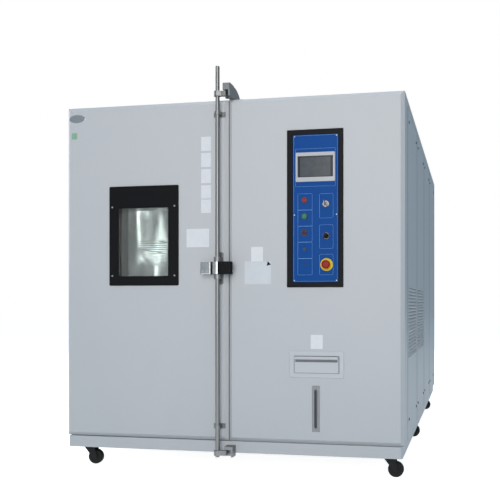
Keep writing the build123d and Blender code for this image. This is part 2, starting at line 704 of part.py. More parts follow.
# Control panel place and cut-outs of the machine front
ctl_w = 271.0
ctl_h = 742.0
ctl_t = 5.0
ctl_x = x_right - 556.0
ctl_z = z_plinth + 794.0
ctl_rim = 24.0
plate_z = (ctl_z + ctl_rim, ctl_z + ctl_h - ctl_rim)
plate_x = (ctl_x + ctl_rim + 4, ctl_x + ctl_w - ctl_rim)
drawer_w = 262.0
drawer_h = 126.0
drawer_x = x_right - 544.0
drawer_z = z_plinth + 368.0
drawer_rim = 20.0
gauge_w = 37.0
gauge_h = 217.0
gauge_x = x_right - 435.0
gauge_z = z_plinth + 115.0
gauge_rim = 11.0
with BuildPart() as front_core:
    block((x_machine + skin_t, x_right - skin_t), (y_front + skin_t, y_front + return_d + 1), core_z)
    chamfer(front_core.faces().sort_by(Axis.Y)[0].edges(), edge_bevel)

with BuildPart() as machine_front:
    block((x_machine, x_right), (y_front, y_front + return_d), door_z)
    chamfer(machine_front.faces().sort_by(Axis.Y)[0].edges(), edge_bevel)
    add(front_core.part, mode=Mode.SUBTRACT)
    with BuildSketch(Plane.XZ.offset(-y_front + 1)):
        with Locations((ctl_x + ctl_w / 2, ctl_z + ctl_h / 2)):
            Rectangle(ctl_w - 2 * ctl_rim + 8, ctl_h - 2 * ctl_rim + 8)
        with Locations((drawer_x + drawer_w / 2, drawer_z + drawer_h / 2)):
            Rectangle(drawer_w - 2 * drawer_rim + 4, drawer_h - 2 * drawer_rim + 4)
        with Locations((gauge_x + gauge_w / 2, gauge_z + gauge_h / 2)):
            Rectangle(gauge_w - 2 * gauge_rim + 2, gauge_h - 2 * gauge_rim + 10)
    extrude(amount=-return_d - 2, mode=Mode.SUBTRACT)
save(machine_front, "machine_front")

with BuildPart() as machine_roof:
    block((x_machine, x_right), (machine_y[0], y_rear), (z_top - skin_t, z_top))
    block((x_right - skin_t, x_right), (panel_ys[0], panel_ys[-1]), (z_top - roof_side, z_top - skin_t))
save(machine_roof, "machine_roof")

side_z = (z_body + seam, z_top - roof_side - seam)
louvre_low = z_plinth + 453.0
louvre_pitch = 17.0
louvre_rows = 21
louvre_w = 460.0
louvre_in = 7.0
louvre_h = 9.0
for group, numbers in (("louvred_side_panels", (0, 1)), ("plain_side_panels", (2, 3))):
    with BuildPart() as side_panels:
        for number in numbers:
            y_span = (panel_ys[number] + seam / 2, panel_ys[number + 1] - seam / 2)
            block((x_right - flange, x_right), y_span, side_z)
            block(
                (x_right - flange - 1, x_right - skin_t),
                (y_span[0] + skin_t, y_span[1] - skin_t),
                (side_z[0] + skin_t, side_z[1] - skin_t),
                mode=Mode.SUBTRACT,
            )
            if group.startswith("plain"):
                continue
            y_mid = (y_span[0] + y_span[1]) / 2
            louvre_span = (y_mid - louvre_w / 2, y_mid + louvre_w / 2)
            for row in range(louvre_rows):
                row_z = louvre_low + row * louvre_pitch
                slot_z = (row_z, row_z + louvre_h)
                block((x_right - skin_t - 1, x_right + 1), louvre_span, slot_z, mode=Mode.SUBTRACT)
                with BuildSketch(Plane.XZ.offset(-louvre_span[0])):
                    with BuildLine():
                        Polyline(
                            (x_right - skin_t, row_z + louvre_h),
                            (x_right - skin_t, row_z + louvre_h + skin_t),
                            (x_right - skin_t - louvre_in, row_z + 2 * skin_t),
                            (x_right - skin_t - louvre_in, row_z + skin_t),
                            close=True,
                        )
                    make_face()
                extrude(amount=-louvre_w)
    save(side_panels, group)

screw_r = 7.0
screw_inset_y = 66.0
screw_inset_z = 92.0
with BuildPart() as side_screws:
    for number in range(panel_count):
        for spot_y in (panel_ys[number] + screw_inset_y, panel_ys[number + 1] - screw_inset_y):
            for spot_z in (side_z[0] + screw_inset_z, z_top - screw_inset_z):
                rod_between((spot_y, spot_z), screw_r, x_right, x_right + screw_head_t, "x")
save(side_screws, "side_panel_screws")

# Rear covers: a louvred lid over the fan motor bay, and the machine back with its fan mouth
motor_cover_x = (x_left, x_door_end)
vent_w = 520.0
vent_rows = 14
vent_pitch = 26.0
vent_h = 12.0
vent_z = z_top - 620.0
with BuildPart() as motor_cover:
    block(motor_cover_x, (y_chamber_back + seat_gap, y_rear), (z_body, z_top))
    block(
        (motor_cover_x[0] + skin_t, motor_cover_x[1] - skin_t),
        (y_chamber_back, y_rear - skin_t),
        (z_body + skin_t, z_top - skin_t),
        mode=Mode.SUBTRACT,
    )
    for row in range(vent_rows):
        row_z = vent_z + row * vent_pitch
        block(
            (fan_x - vent_w / 2, fan_x + vent_w / 2),
            (y_rear - skin_t - 1, y_rear + 1),
            (row_z, row_z + vent_h),
            mode=Mode.SUBTRACT,
        )
save(motor_cover, "motor_bay_cover")

cond_x = (x_machine + x_right) / 2
cond_z = z_body + 1180.0
cond_fan_r = 210.0
mouth_r = 225.0
cond_size = 520.0
cond_d = 110.0
with BuildPart() as rear_panel:
    with BuildSketch(Plane.XZ.offset(-y_rear)):
        with Locations((cond_x - skin_t / 2, (z_body + z_top) / 2)):
            Rectangle(half_w - skin_t, z_top - z_body - 2 * skin_t - 2)
        with Locations((cond_x, cond_z)):
            Circle(mouth_r, mode=Mode.SUBTRACT)
        with Locations((cond_x, z_body + 420)):
            with GridLocations(0, vent_pitch, 1, vent_rows):
                Rectangle(vent_w, vent_h, mode=Mode.SUBTRACT)
    extrude(amount=-skin_t)

ring_count = 5
ring_t = 4.0
with BuildPart() as fan_guard:
    add(rear_panel.part)
    with BuildSketch(Plane.XZ.offset(-y_rear - rear_guard_t + ring_t)):
        with Locations((cond_x, cond_z)):
            for ring in range(ring_count):
                outer = (mouth_r + 8) * (ring + 1) / ring_count
                Circle(outer)
                Circle(outer - ring_t, mode=Mode.SUBTRACT)
            with PolarLocations(0, 2):
                Rectangle(2 * mouth_r + 10, ring_t)
            with Locations(Rotation(0, 0, 90)):
                Rectangle(2 * mouth_r + 10, ring_t)
    extrude(amount=-ring_t)
    with BuildSketch(Plane.XZ.offset(-y_rear)):
        with Locations((cond_x, cond_z)):
            with PolarLocations(mouth_r + 6, 4, start_angle=45):
                Circle(ring_t / 2)
    extrude(amount=-rear_guard_t + ring_t)

# Refrigeration and water gear on the machine floor
floor_z = z_body + floor_t
comp_r = 110.0
comp_h = 330.0
comp_foot = 25.0
comp_ys = [y_rear - 520.0, y_rear - 900.0]
comp_x = x_machine + 330.0
with BuildPart() as compressors:
    for comp_y in comp_ys:
        block((comp_x - 105, comp_x + 105), (comp_y - 105, comp_y + 105), (floor_z + comp_foot, floor_z + comp_foot + 4))
        for dx in (-85, 85):
            for dy in (-85, 85):
                foot = (comp_x + dx, comp_y + dy)
                rod_between(foot, 14, floor_z, floor_z + comp_foot)
        rod_between((comp_x, comp_y), comp_r, floor_z + comp_foot + 4, floor_z + comp_foot + comp_h)
    tops = compressors.edges().filter_by(GeomType.CIRCLE).group_by(Axis.Z)[-1]
    fillet(tops, 45)
    for comp_y in comp_ys:
        port_top = floor_z + comp_foot + comp_h
        rod_between((comp_x, comp_y), 16, port_top, port_top + 30)

cond_y = (y_rear - 200.0 - cond_d, y_rear - 200.0)
cond_low = cond_z - cond_size / 2
cond_fins = 20
with BuildPart() as condenser:
    add(compressors.part)
    for step in range(cond_fins + 1):
        fin_x = cond_x - cond_size / 2 + step * (cond_size - 2) / cond_fins
        block((fin_x, fin_x + 2), cond_y, (cond_low, cond_low + cond_size))
    for step in range(5):
        tube_z = cond_low + cond_size * (step + 0.5) / 5
        rod_between(((cond_y[0] + cond_y[1]) / 2, tube_z), tube_r, cond_x - cond_size / 2, cond_x + cond_size / 2, "x")

stand_w = 30.0
cond_ends = (cond_x - cond_size / 2, cond_x + cond_size / 2)
motor_bar_y = (cond_y[1] + 10, cond_y[1] + 18)
with BuildPart() as condenser_stand:
    add(condenser.part)
    for x_low in (cond_ends[0] - 3, cond_ends[1]):
        block((x_low, x_low + 3), (cond_y[0], y_rear - 60), (floor_z, cond_low + cond_size))
    block((cond_ends[0], cond_ends[1]), motor_bar_y, (cond_z - stand_w, cond_z + stand_w))
    rod_between((cond_x, cond_z), 45, motor_bar_y[1], motor_bar_y[1] + 50, "y")
    rod_between((cond_x, cond_z), 8, motor_bar_y[1] + 50, motor_bar_y[1] + 100, "y")
save(condenser_stand, "refrigeration_unit")

cond_hub_r = 50.0
cond_blade_d = 44.0
cond_blades = 5
blade_chord = 90.0
blade_t = 3.0
blade_pitch = 65.0
spindle_r = 8.0
spindle_fit = 0.08
cond_fan_y = motor_bar_y[1] + 54.0
blade_span = cond_fan_r - cond_hub_r + 8
with BuildPart() as condenser_fan:
    rod_between((cond_x, cond_z), cond_hub_r, cond_fan_y, cond_fan_y + cond_blade_d, "y")
    for blade in range(cond_blades):
        around = Location((cond_x, cond_fan_y + cond_blade_d / 2, cond_z), (0, 360 * blade / cond_blades, 0))
        with Locations(around * Location((cond_fan_r - blade_span / 2, 0, 0), (blade_pitch - 90, 0, 0))):
            Box(blade_span, blade_t, blade_chord)
    rod_between(
        (cond_x, cond_z), spindle_r + spindle_fit, cond_fan_y - 1, cond_fan_y + cond_blade_d + 1, "y", Mode.SUBTRACT
    )
save(condenser_fan, "condenser_fan")

boiler_r = 75.0
boiler_h = 300.0
boiler_at = (x_machine + 620.0, y_front + 560.0)
with BuildPart() as humidifier:
    rod_between(boiler_at, boiler_r, floor_z, floor_z + boiler_h)
    fillet(humidifier.edges().filter_by(GeomType.CIRCLE).group_by(Axis.Z)[-1], 12)
    rod_between(boiler_at, 18, floor_z + boiler_h, floor_z + boiler_h + 40)

tank_w = 300.0
tank_d = 260.0
tank_h = 260.0
tank_x = x_machine + 90.0
with BuildPart() as water_tank:
    add(humidifier.part)
    block((tank_x, tank_x + tank_w), (y_front + 330, y_front + 330 + tank_d), (floor_z, floor_z + tank_h))
    fillet(water_tank.edges().filter_by(Axis.Z), 20)
    rod_between((tank_x + tank_w / 2, y_front + 330 + tank_d / 2), 35, floor_z + tank_h, floor_z + tank_h + 18)
save(water_tank, "humidifier")

box_w = 600.0
box_h = 820.0
box_d = 180.0
box_y = y_front + 240.0
box_x = x_machine + 40.0
box_z = z_plinth + 760.0
with BuildPart() as electrical_box:
    block((box_x, box_x + box_w), (box_y, box_y + box_d), (box_z, box_z + box_h))
    block(
        (box_x + skin_t, box_x + box_w - skin_t),
        (box_y - 1, box_y + box_d - skin_t),
        (box_z + skin_t, box_z + box_h - skin_t),
        mode=Mode.SUBTRACT,
    )
    for x_low in (box_x, box_x + box_w - 30):
        block((x_low, x_low + 30), (box_y + box_d - skin_t, box_y + box_d), (floor_z, box_z + 1))

gear_w = 45.0
with BuildPart() as switchgear:
    add(electrical_box.part)
    for row, (count, gear_h, gear_d) in enumerate(((9, 90.0, 75.0), (8, 120.0, 90.0), (7, 100.0, 80.0))):
        row_z = box_z + 110.0 + row * 250.0
        rail_y = box_y + box_d - skin_t
        block((box_x + 40, box_x + box_w - 40), (rail_y - 8, rail_y), (row_z + gear_h / 2 - 17, row_z + gear_h / 2 + 17))
        for item in range(count):
            low = box_x + 60 + item * (gear_w + 8)
            block((low, low + gear_w), (rail_y - 8 - gear_d, rail_y - 8), (row_z, row_z + gear_h))
save(switchgear, "electrical_box")

# Control panel: black frame, blue plate, touch screen, lamps, key switch, selector and stop button
ctl_mid = (ctl_x + ctl_w / 2, ctl_z + ctl_h / 2)
with BuildPart() as control_bezel:
    with BuildSketch(Plane.XZ.offset(-y_front)):
        with Locations(ctl_mid):
            RectangleRounded(ctl_w, ctl_h, 4)
        with Locations(((plate_x[0] + plate_x[1]) / 2, ctl_mid[1])):
            Rectangle(plate_x[1] - plate_x[0], plate_z[1] - plate_z[0], mode=Mode.SUBTRACT)
    extrude(amount=ctl_t)
    chamfer(control_bezel.faces().sort_by(Axis.Y)[0].edges(), 1.5)
save(control_bezel, "control_bezel")

face_y = y_front - 2.0
screen_x = (x_right - 513.0, x_right - 324.0)
screen_z = (z_plinth + 1290.0, z_plinth + 1428.0)
lcd_margin = 9.0
lcd_low = 21.0
lcd_high = 17.0
lcd_x = (screen_x[0] + lcd_margin, screen_x[1] - lcd_margin)
lcd_z = (screen_z[0] + lcd_low, screen_z[1] - lcd_high)
button_r = 11.0
lamp_x = x_right - 471.0
lamp_zs = [z_plinth + 1204.0, z_plinth + 1128.0, z_plinth + 1051.0]
buzzer_z = z_plinth + 974.0
led_z = z_plinth + 900.0
key_at = (x_right - 368.0, z_plinth + 1184.0)
selector_at = (x_right - 366.0, z_plinth + 1034.0)
stop_at = (x_right - 364.5, z_plinth + 900.0)
with BuildPart() as control_plate:
    with BuildSketch(Plane.XZ.offset(-y_front)):
        with Locations(((plate_x[0] + plate_x[1]) / 2, ctl_mid[1])):
            Rectangle(plate_x[1] - plate_x[0] - 2 * seat_gap, plate_z[1] - plate_z[0] - 2 * seat_gap)
        with Locations(key_at, selector_at, stop_at):
            Circle(button_r, mode=Mode.SUBTRACT)
        with Locations(((screen_x[0] + screen_x[1]) / 2, (screen_z[0] + screen_z[1]) / 2)):
            Rectangle(screen_x[1] - screen_x[0] - 12, screen_z[1] - screen_z[0] - 12, mode=Mode.SUBTRACT)
    extrude(amount=y_front - face_y)
save(control_plate, "control_plate")

unit_d = 45.0
with BuildPart() as touch_screen:
    with BuildSketch(Plane.XZ.offset(-face_y)):
        with Locations(((screen_x[0] + screen_x[1]) / 2, (screen_z[0] + screen_z[1]) / 2)):
            RectangleRounded(screen_x[1] - screen_x[0], screen_z[1] - screen_z[0], 5)
        with Locations(((lcd_x[0] + lcd_x[1]) / 2, (lcd_z[0] + lcd_z[1]) / 2)):
            Rectangle(lcd_x[1] - lcd_x[0], lcd_z[1] - lcd_z[0], mode=Mode.SUBTRACT)
    extrude(amount=5)
    fillet(touch_screen.faces().sort_by(Axis.Y)[0].outer_wire().edges(), 1.5)
    back_x = (screen_x[0] + 7, screen_x[1] - 7)
    block(back_x, (face_y, face_y + unit_d), (screen_z[0] + 7, screen_z[1] - 7))
    block(lcd_x, (face_y - 3, face_y), lcd_z)
save(touch_screen, "touch_screen")

lamp_ring_r = 15.0
lamp_lens_r = 11.5
with BuildPart() as lamp_rings:
    for lamp_z in lamp_zs:
        rod_between((lamp_x, lamp_z), lamp_ring_r, face_y - 4, face_y, "y")
        rod_between((lamp_x, lamp_z), lamp_lens_r, face_y - 5, face_y - 1, "y", Mode.SUBTRACT)
    rod_between((lamp_x, buzzer_z), 7, face_y - 4, face_y, "y")
    rod_between((lamp_x, led_z), 4, face_y - 3, face_y, "y")

with BuildPart() as lamp_lenses:
    for lamp_z in lamp_zs:
        rod_between((lamp_x, lamp_z), lamp_lens_r, face_y - 8, face_y - 1, "y")
    fillet(lamp_lenses.edges().filter_by(GeomType.CIRCLE).group_by(Axis.Y)[0], 3)
save(lamp_lenses, "lamp_lenses")

# Each switch has a collar clamped in the plate, with a barrel behind, and a part that moves in it
collar_r = 15.0
collar_t = 5.0
bush_r = 8.0
bush_fit = 0.08
barrel_d = 42.0
with BuildPart() as switch_collars:
    add(lamp_rings.part)
    for spot in (key_at, selector_at):
        rod_between(spot, collar_r, face_y - collar_t, face_y, "y")
        rod_between(spot, button_r, face_y, face_y + barrel_d, "y")
        rod_between(spot, bush_r + bush_fit, face_y - collar_t - 1, face_y + 20, "y", Mode.SUBTRACT)
save(switch_collars, "switch_collars")

key_t = 2.4
with BuildPart() as key_switch:
    rod_between(key_at, bush_r, face_y - collar_t - 2, face_y + 18, "y")
    key_x = (key_at[0] - key_t / 2, key_at[0] + key_t / 2)
    block(key_x, (face_y - 30, face_y - collar_t - 2), (key_at[1] - 5, key_at[1] + 5))
    block(key_x, (face_y - 48, face_y - 30), (key_at[1] - 12, key_at[1] + 12))
save(key_switch, "key_switch")

knob_r = 13.0
with BuildPart() as selector_knob:
    rod_between(selector_at, bush_r, face_y - collar_t - 1, face_y + 18, "y")
    rod_between(selector_at, knob_r, face_y - collar_t - 7, face_y - collar_t - seat_gap, "y")
    with Locations(Location((selector_at[0], face_y - collar_t - 14, selector_at[1]), (0, 45, 0))):
        Box(8, 16, 2 * knob_r)
save(selector_knob, "selector_knob")

stop_ring_r = 30.0
stop_ring_t = 3.0
stop_travel = 6.0
stop_cap_r = 20.0
stop_stem_r = 8.0
with BuildPart() as stop_ring:
    rod_between(stop_at, stop_ring_r, face_y - stop_ring_t, face_y, "y")
    rod_between(stop_at, 16, face_y - stop_ring_t - 8, face_y - stop_ring_t, "y")
    rod_between(stop_at, button_r, face_y, face_y + barrel_d, "y")
    rod_between(stop_at, stop_stem_r + bush_fit, face_y - 20, face_y + 34, "y", Mode.SUBTRACT)
save(stop_ring, "stop_button_ring")

cap_y = face_y - stop_ring_t - 8 - stop_travel - seat_gap
stop_cap_t = 16.0
with BuildPart() as stop_button:
    rod_between(stop_at, stop_cap_r, cap_y - stop_cap_t, cap_y, "y")
    fillet(stop_button.edges().filter_by(GeomType.CIRCLE).group_by(Axis.Y)[0], 9)
    rod_between(stop_at, stop_stem_r, cap_y - 1, face_y + 20, "y")
save(stop_button, "stop_button")

# Water drawer on runners in its sleeve, and the level gauge beside it
drawer_d = 300.0
drawer_clear = 1.5
drawer_wall = 2.5
sleeve_t = 2.0
lip_h = 16.0
open_x = (drawer_x + drawer_rim, drawer_x + drawer_w - drawer_rim)
open_z = (drawer_z + drawer_rim, drawer_z + drawer_h - drawer_rim)
sleeve_end = y_front + drawer_d + 20
with BuildPart() as drawer_frame:
    with BuildSketch(Plane.XZ.offset(-y_front)):
        with Locations((drawer_x + drawer_w / 2, drawer_z + drawer_h / 2)):
            RectangleRounded(drawer_w, drawer_h, 8)
    extrude(amount=4)
    chamfer(drawer_frame.faces().sort_by(Axis.Y)[0].edges(), 2)
    block(open_x, (y_front, sleeve_end), open_z)
    block(
        (open_x[0] + sleeve_t, open_x[1] - sleeve_t),
        (y_front - 10, sleeve_end - sleeve_t),
        (open_z[0] + sleeve_t, open_z[1] - sleeve_t),
        mode=Mode.SUBTRACT,
    )
save(drawer_frame, "drawer_frame")

tray_x = (open_x[0] + sleeve_t + drawer_clear, open_x[1] - sleeve_t - drawer_clear)
tray_z = (open_z[0] + sleeve_t + seat_gap, open_z[1] - sleeve_t - drawer_clear)
tray_y = (y_front + 6.0, y_front + drawer_d)
pull_depth = 16.0
with BuildPart() as water_drawer:
    block(tray_x, (y_front - 6, tray_y[0]), tray_z)
    block(tray_x, (tray_y[0], tray_y[1]), (tray_z[0], tray_z[1] - lip_h))
    block(
        (tray_x[0] + drawer_wall, tray_x[1] - drawer_wall),
        (tray_y[0] + pull_depth + drawer_wall, tray_y[1] - drawer_wall),
        (tray_z[0] + drawer_wall, tray_z[1]),
        mode=Mode.SUBTRACT,
    )
    block(
        (tray_x[0] + 6, tray_x[1] - 6),
        (y_front - 7, tray_y[0] + pull_depth),
        (tray_z[1] - lip_h - 12, tray_z[1] - lip_h),
        mode=Mode.SUBTRACT,
    )
save(water_drawer, "water_drawer")

tube_w = 11.0
gauge_t = 2.5
gauge_at = (gauge_x + gauge_w / 2, gauge_z + gauge_h / 2)
slot_h = gauge_h - 2 * gauge_rim - 10
with BuildPart() as gauge_plate:
    with BuildSketch(Plane.XZ.offset(-y_front)):
        with Locations(gauge_at):
            RectangleRounded(gauge_w, gauge_h, 3)
            SlotOverall(slot_h, tube_w + 2, rotation=90, mode=Mode.SUBTRACT)
    extrude(amount=gauge_t)
    for way in (1, -1):
        block(
            (gauge_at[0] - tube_w / 2 - 1, gauge_at[0] + tube_w / 2 + 1),
            (y_front, y_front + 16),
            (gauge_at[1] + way * slot_h / 2 - 6, gauge_at[1] + way * slot_h / 2 + 2),
        )

with BuildPart() as gauge_tube:
    add(gauge_plate.part)
    rod_between(
        (gauge_at[0], y_front + 7), tube_w / 2, gauge_at[1] - slot_h / 2 + 2, gauge_at[1] + slot_h / 2 - 6
    )
save(gauge_tube, "level_gauge")

# Services at the back: power gland, drain and water inlet on the machine's rear panel
gland_r = 20.0
gland_at = (x_machine + 120.0, z_body + 140.0)
drain_at = (x_machine + 260.0, z_body + 90.0)
inlet_at = (x_machine + 380.0, z_body + 90.0)
with BuildPart() as service_ports:
    add(fan_guard.part)
    for spot, radius in ((gland_at, gland_r), (drain_at, 13.0), (inlet_at, 10.0)):
        rod_between(spot, radius + 5, y_rear, y_rear + 3, "y")
        rod_between(spot, radius, y_rear, y_rear + rear_guard_t, "y")
        rod_between(spot, radius - 4, y_rear + 1, y_rear + 20, "y", Mode.SUBTRACT)
save(service_ports, "machine_rear_panel")
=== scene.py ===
import math

import bmesh
import bpy
from mathutils import Matrix, Vector


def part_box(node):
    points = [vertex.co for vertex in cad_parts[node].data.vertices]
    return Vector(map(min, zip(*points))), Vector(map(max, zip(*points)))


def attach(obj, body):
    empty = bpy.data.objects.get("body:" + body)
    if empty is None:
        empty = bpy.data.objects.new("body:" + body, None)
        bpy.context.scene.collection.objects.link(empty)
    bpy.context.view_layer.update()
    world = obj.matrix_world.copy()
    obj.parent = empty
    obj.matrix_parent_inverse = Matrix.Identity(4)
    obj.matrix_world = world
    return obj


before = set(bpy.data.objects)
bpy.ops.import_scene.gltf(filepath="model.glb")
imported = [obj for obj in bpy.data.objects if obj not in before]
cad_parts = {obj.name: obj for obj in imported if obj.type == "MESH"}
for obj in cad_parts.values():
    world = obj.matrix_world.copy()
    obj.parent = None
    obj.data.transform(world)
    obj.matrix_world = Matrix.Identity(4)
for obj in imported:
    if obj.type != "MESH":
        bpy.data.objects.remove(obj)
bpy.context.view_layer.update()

# Camera on a tripod, level with the lower edge of the window and turned a little to the left.
# The shift frames the cabinet as the photograph does without tilting the upright edges.
camera_data = bpy.data.cameras.new("camera")
camera_data.lens = 49.116
camera_data.sensor_width = 36.0
camera_data.shift_x = -0.2
camera_data.shift_y = 0.108
camera = bpy.data.objects.new("camera", camera_data)
camera.location = (1.1626, -4.3765, 0.8156)
camera.rotation_euler = (math.radians(90), 0, math.radians(10.1))
bpy.context.scene.collection.objects.link(camera)
bpy.context.scene.camera = camera


# Base frame: welded box section under both halves, powder coated in the cabinet's pale grey.
# It is set back 10 mm all round, so a shadow line runs above it.


def colour(code):
    """The linear colour of an sRGB hex code."""
    parts = [int(code[at : at + 2], 16) / 255 for at in (0, 2, 4)]
    linear = [part / 12.92 if part <= 0.04045 else ((part + 0.055) / 1.055) ** 2.4 for part in parts]
    return (*linear, 1.0)


def add_node(material, kind, inputs, **settings):
    """Adds one shader node with its settings, and a value or a link for each input."""
    added = material.node_tree.nodes.new("ShaderNode" + kind)
    for name, value in settings.items():
        setattr(added, name, value)
    for name, value in inputs.items():
        if isinstance(value, bpy.types.NodeSocket):
            material.node_tree.links.new(value, added.inputs[name])
        else:
            added.inputs[name].default_value = value
    return added


def new_material(name):
    """An empty node material."""
    material = bpy.data.materials.new(name)
    material.use_nodes = True
    material.node_tree.nodes.clear()
    return material


def powder_coat(name, base, shade, rough, specular=0.12):
    """Baked powder paint on sheet steel: fine orange peel, slightly wavy sheet, and a random mottle towards the
    shade colour that grows towards the bottom, which on the cabinet's grey is painted shade and painted bluish
    reflection low down.
    """
    paint = new_material(name)
    where = add_node(paint, "TexCoord", {}).outputs["Object"]
    broad = add_node(paint, "TexNoise", {"Vector": where, "Scale": 1.7, "Detail": 4.0}).outputs["Fac"]
    height = add_node(paint, "SeparateXYZ", {"Vector": where}).outputs["Z"]
    low = add_node(paint, "MapRange", {"Value": height, "From Min": 1.5, "From Max": 0.1, "To Max": 0.6})
    # Mottle: random tone, plus painted shade and painted bluish reflection that grow towards the bottom.
    mottle = add_node(paint, "Math", {0: broad, 1: low.outputs["Result"]}, operation="MULTIPLY_ADD")
    mottle.inputs[2].default_value = 0.12
    tone = add_node(
        paint, "Mix", {0: mottle.outputs[0], 6: colour(base), 7: colour(shade)}, data_type="RGBA"
    ).outputs[2]
    # Orange peel has a pitch of about 1.5 mm.
    peel = add_node(paint, "TexNoise", {"Vector": where, "Scale": 650.0, "Detail": 1.0}).outputs["Fac"]
    wave = add_node(paint, "TexNoise", {"Vector": where, "Scale": 3.0, "Detail": 1.0}).outputs["Fac"]
    # Handling marks are faint and run along the sheet.
    stretch = add_node(paint, "Mapping", {"Vector": where, "Scale": (9.0, 9.0, 70.0)}).outputs["Vector"]
    marks = add_node(paint, "TexNoise", {"Vector": stretch, "Scale": 3.0, "Detail": 6.0}).outputs["Fac"]
    polish = add_node(
        paint,
        "MapRange",
        {"Value": marks, "From Min": 0.35, "From Max": 0.7, "To Min": rough - 0.05, "To Max": rough + 0.08},
    ).outputs["Result"]
    sheet = add_node(paint, "Bump", {"Height": wave, "Strength": 0.12, "Distance": 0.004}).outputs["Normal"]
    bump = add_node(paint, "Bump", {"Height": peel, "Strength": 0.1, "Distance": 0.0002, "Normal": sheet})
    shader = add_node(
        paint,
        "BsdfPrincipled",
        {
            "Base Color": tone,
            "Roughness": polish,
            "Specular IOR Level": specular,
            "Normal": bump.outputs["Normal"],
        },
    )
    add_node(paint, "OutputMaterial", {"Surface": shader.outputs["BSDF"]})
    return paint


def paint_nodes(material, *names):
    """Gives CAD nodes their finish."""
    for name in names:
        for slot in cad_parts[name].material_slots:
            slot.material = material


grey_paint = powder_coat("pale_grey_powder_coat", "C6C8CA", "B3BBC1", 0.42)
paint_nodes(grey_paint, "base_frame", "chamber_skin", "motor_bay_cover", "machine_roof", "machine_frame")

# Casters: pressed steel forks with a black zinc and lacquer finish, on plates bolted to the base frame.
# The wheels are solid black polyurethane on moulded hubs, scuffed grey where they touch the floor.
black_lacquer = powder_coat("black_lacquered_steel", "17181A", "2A2C2E", 0.36)
paint_nodes(black_lacquer, "caster_plates", *[f"caster_fork_{number}" for number in range(1, 7)])
tyre = new_material("moulded_polyurethane_tyre")
where = add_node(tyre, "TexCoord", {}).outputs["Object"]
height = add_node(tyre, "SeparateXYZ", {"Vector": where}).outputs["Z"]
scuff = add_node(tyre, "TexNoise", {"Vector": where, "Scale": 140.0, "Detail": 5.0}).outputs["Fac"]
low = add_node(tyre, "MapRange", {"Value": height, "From Min": 0.03, "From Max": 0.0, "To Max": 0.7})
worn = add_node(tyre, "Math", {0: scuff, 1: low.outputs["Result"]}, operation="MULTIPLY").outputs[0]
tone = add_node(tyre, "Mix", {0: worn, 6: colour("0B0B0C"), 7: colour("2C2B29")}, data_type="RGBA").outputs[2]
grain = add_node(tyre, "Bump", {"Height": scuff, "Strength": 0.2, "Distance": 0.0004}).outputs["Normal"]
shader = add_node(
    tyre,
    "BsdfPrincipled",
    {"Base Color": tone, "Roughness": 0.55, "Specular IOR Level": 0.2, "Normal": grain},
)
add_node(tyre, "OutputMaterial", {"Surface": shader.outputs["BSDF"]})
paint_nodes(tyre, *[f"caster_wheel_{number}" for number in range(1, 7)])


# Test space: welded 304 sheet with a directional grain, so it mirrors the lamp in soft upright streaks.
# Shelves, cleats, air treatment, the boiler's tank and the cable port are the same steel.


def brushed_metal(name, code, rough, run, buckle=0.0):
    """Metal with brushing lines; run is how often the grain changes along X, Y and Z, in turns per metre.
    Buckle is how far in metres a large sheet bulges, which bends what it mirrors."""
    metal = new_material(name)
    where = add_node(metal, "TexCoord", {}).outputs["Object"]
    # Grinding lines are finer than the render shows, so they are drawn about 1 mm wide.
    lines = add_node(metal, "Mapping", {"Vector": where, "Scale": run}).outputs["Vector"]
    grain = add_node(metal, "TexNoise", {"Vector": lines, "Scale": 1.0, "Detail": 3.0}).outputs["Fac"]
    smear = add_node(metal, "TexNoise", {"Vector": where, "Scale": 9.0, "Detail": 5.0}).outputs["Fac"]
    both = add_node(metal, "Math", {0: grain, 1: smear}, operation="MULTIPLY").outputs[0]
    polish = add_node(
        metal,
        "MapRange",
        {"Value": both, "From Min": 0.1, "From Max": 0.45, "To Min": rough - 0.06, "To Max": rough + 0.1},
    ).outputs["Result"]
    bulge = add_node(metal, "TexNoise", {"Vector": where, "Scale": 2.6, "Detail": 0.5}).outputs["Fac"]
    sheet = add_node(metal, "Bump", {"Height": bulge, "Strength": 1.0, "Distance": buckle}).outputs["Normal"]
    bump = add_node(metal, "Bump", {"Height": grain, "Strength": 0.12, "Distance": 0.0001, "Normal": sheet})
    shader = add_node(
        metal,
        "BsdfPrincipled",
        {"Base Color": colour(code), "Metallic": 1.0, "Roughness": polish, "Normal": bump.outputs["Normal"]},
    )
    add_node(metal, "OutputMaterial", {"Surface": shader.outputs["BSDF"]})
    return metal


stainless = brushed_metal("brushed_304_stainless", "C9CCCE", 0.14, (900.0, 900.0, 14.0), 0.03)
paint_nodes(
    stainless,
    "chamber_liner",
    "air_treatment",
    "shelf_rack",
    "circulation_fan",
    "humidifier",
    "cable_port",
)

# Door inner plate: the same stainless sheet, bent round its edge and riveted to the door pan over the foam.
# Its window tunnel is coloured near black and not metallic up to the plate, as painted shade in the window's
# recess.
inner_plate = brushed_metal("stainless_plate_with_painted_shade_tunnel", "C9CCCE", 0.2, (900.0, 900.0, 14.0))
inner_shader = inner_plate.node_tree.nodes["Principled BSDF"]
where = add_node(inner_plate, "TexCoord", {}).outputs["Object"]
depth = add_node(inner_plate, "SeparateXYZ", {"Vector": where}).outputs["Y"]
plate_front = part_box("door_inner_plate")[1][1] - 0.003
# In front of the plate the tunnel is painted shade: near black and not metallic.
unshaded_steel = add_node(inner_plate, "Math", {0: depth, 1: plate_front}, operation="GREATER_THAN").outputs[0]
tone = add_node(inner_plate, "Mix", {0: unshaded_steel, 6: colour("0C0D0E"), 7: colour("C9CCCE")}, data_type="RGBA")
inner_plate.node_tree.links.new(tone.outputs[2], inner_shader.inputs["Base Color"])
inner_plate.node_tree.links.new(unshaded_steel, inner_shader.inputs["Metallic"])
paint_nodes(inner_plate, "door_inner_plate")

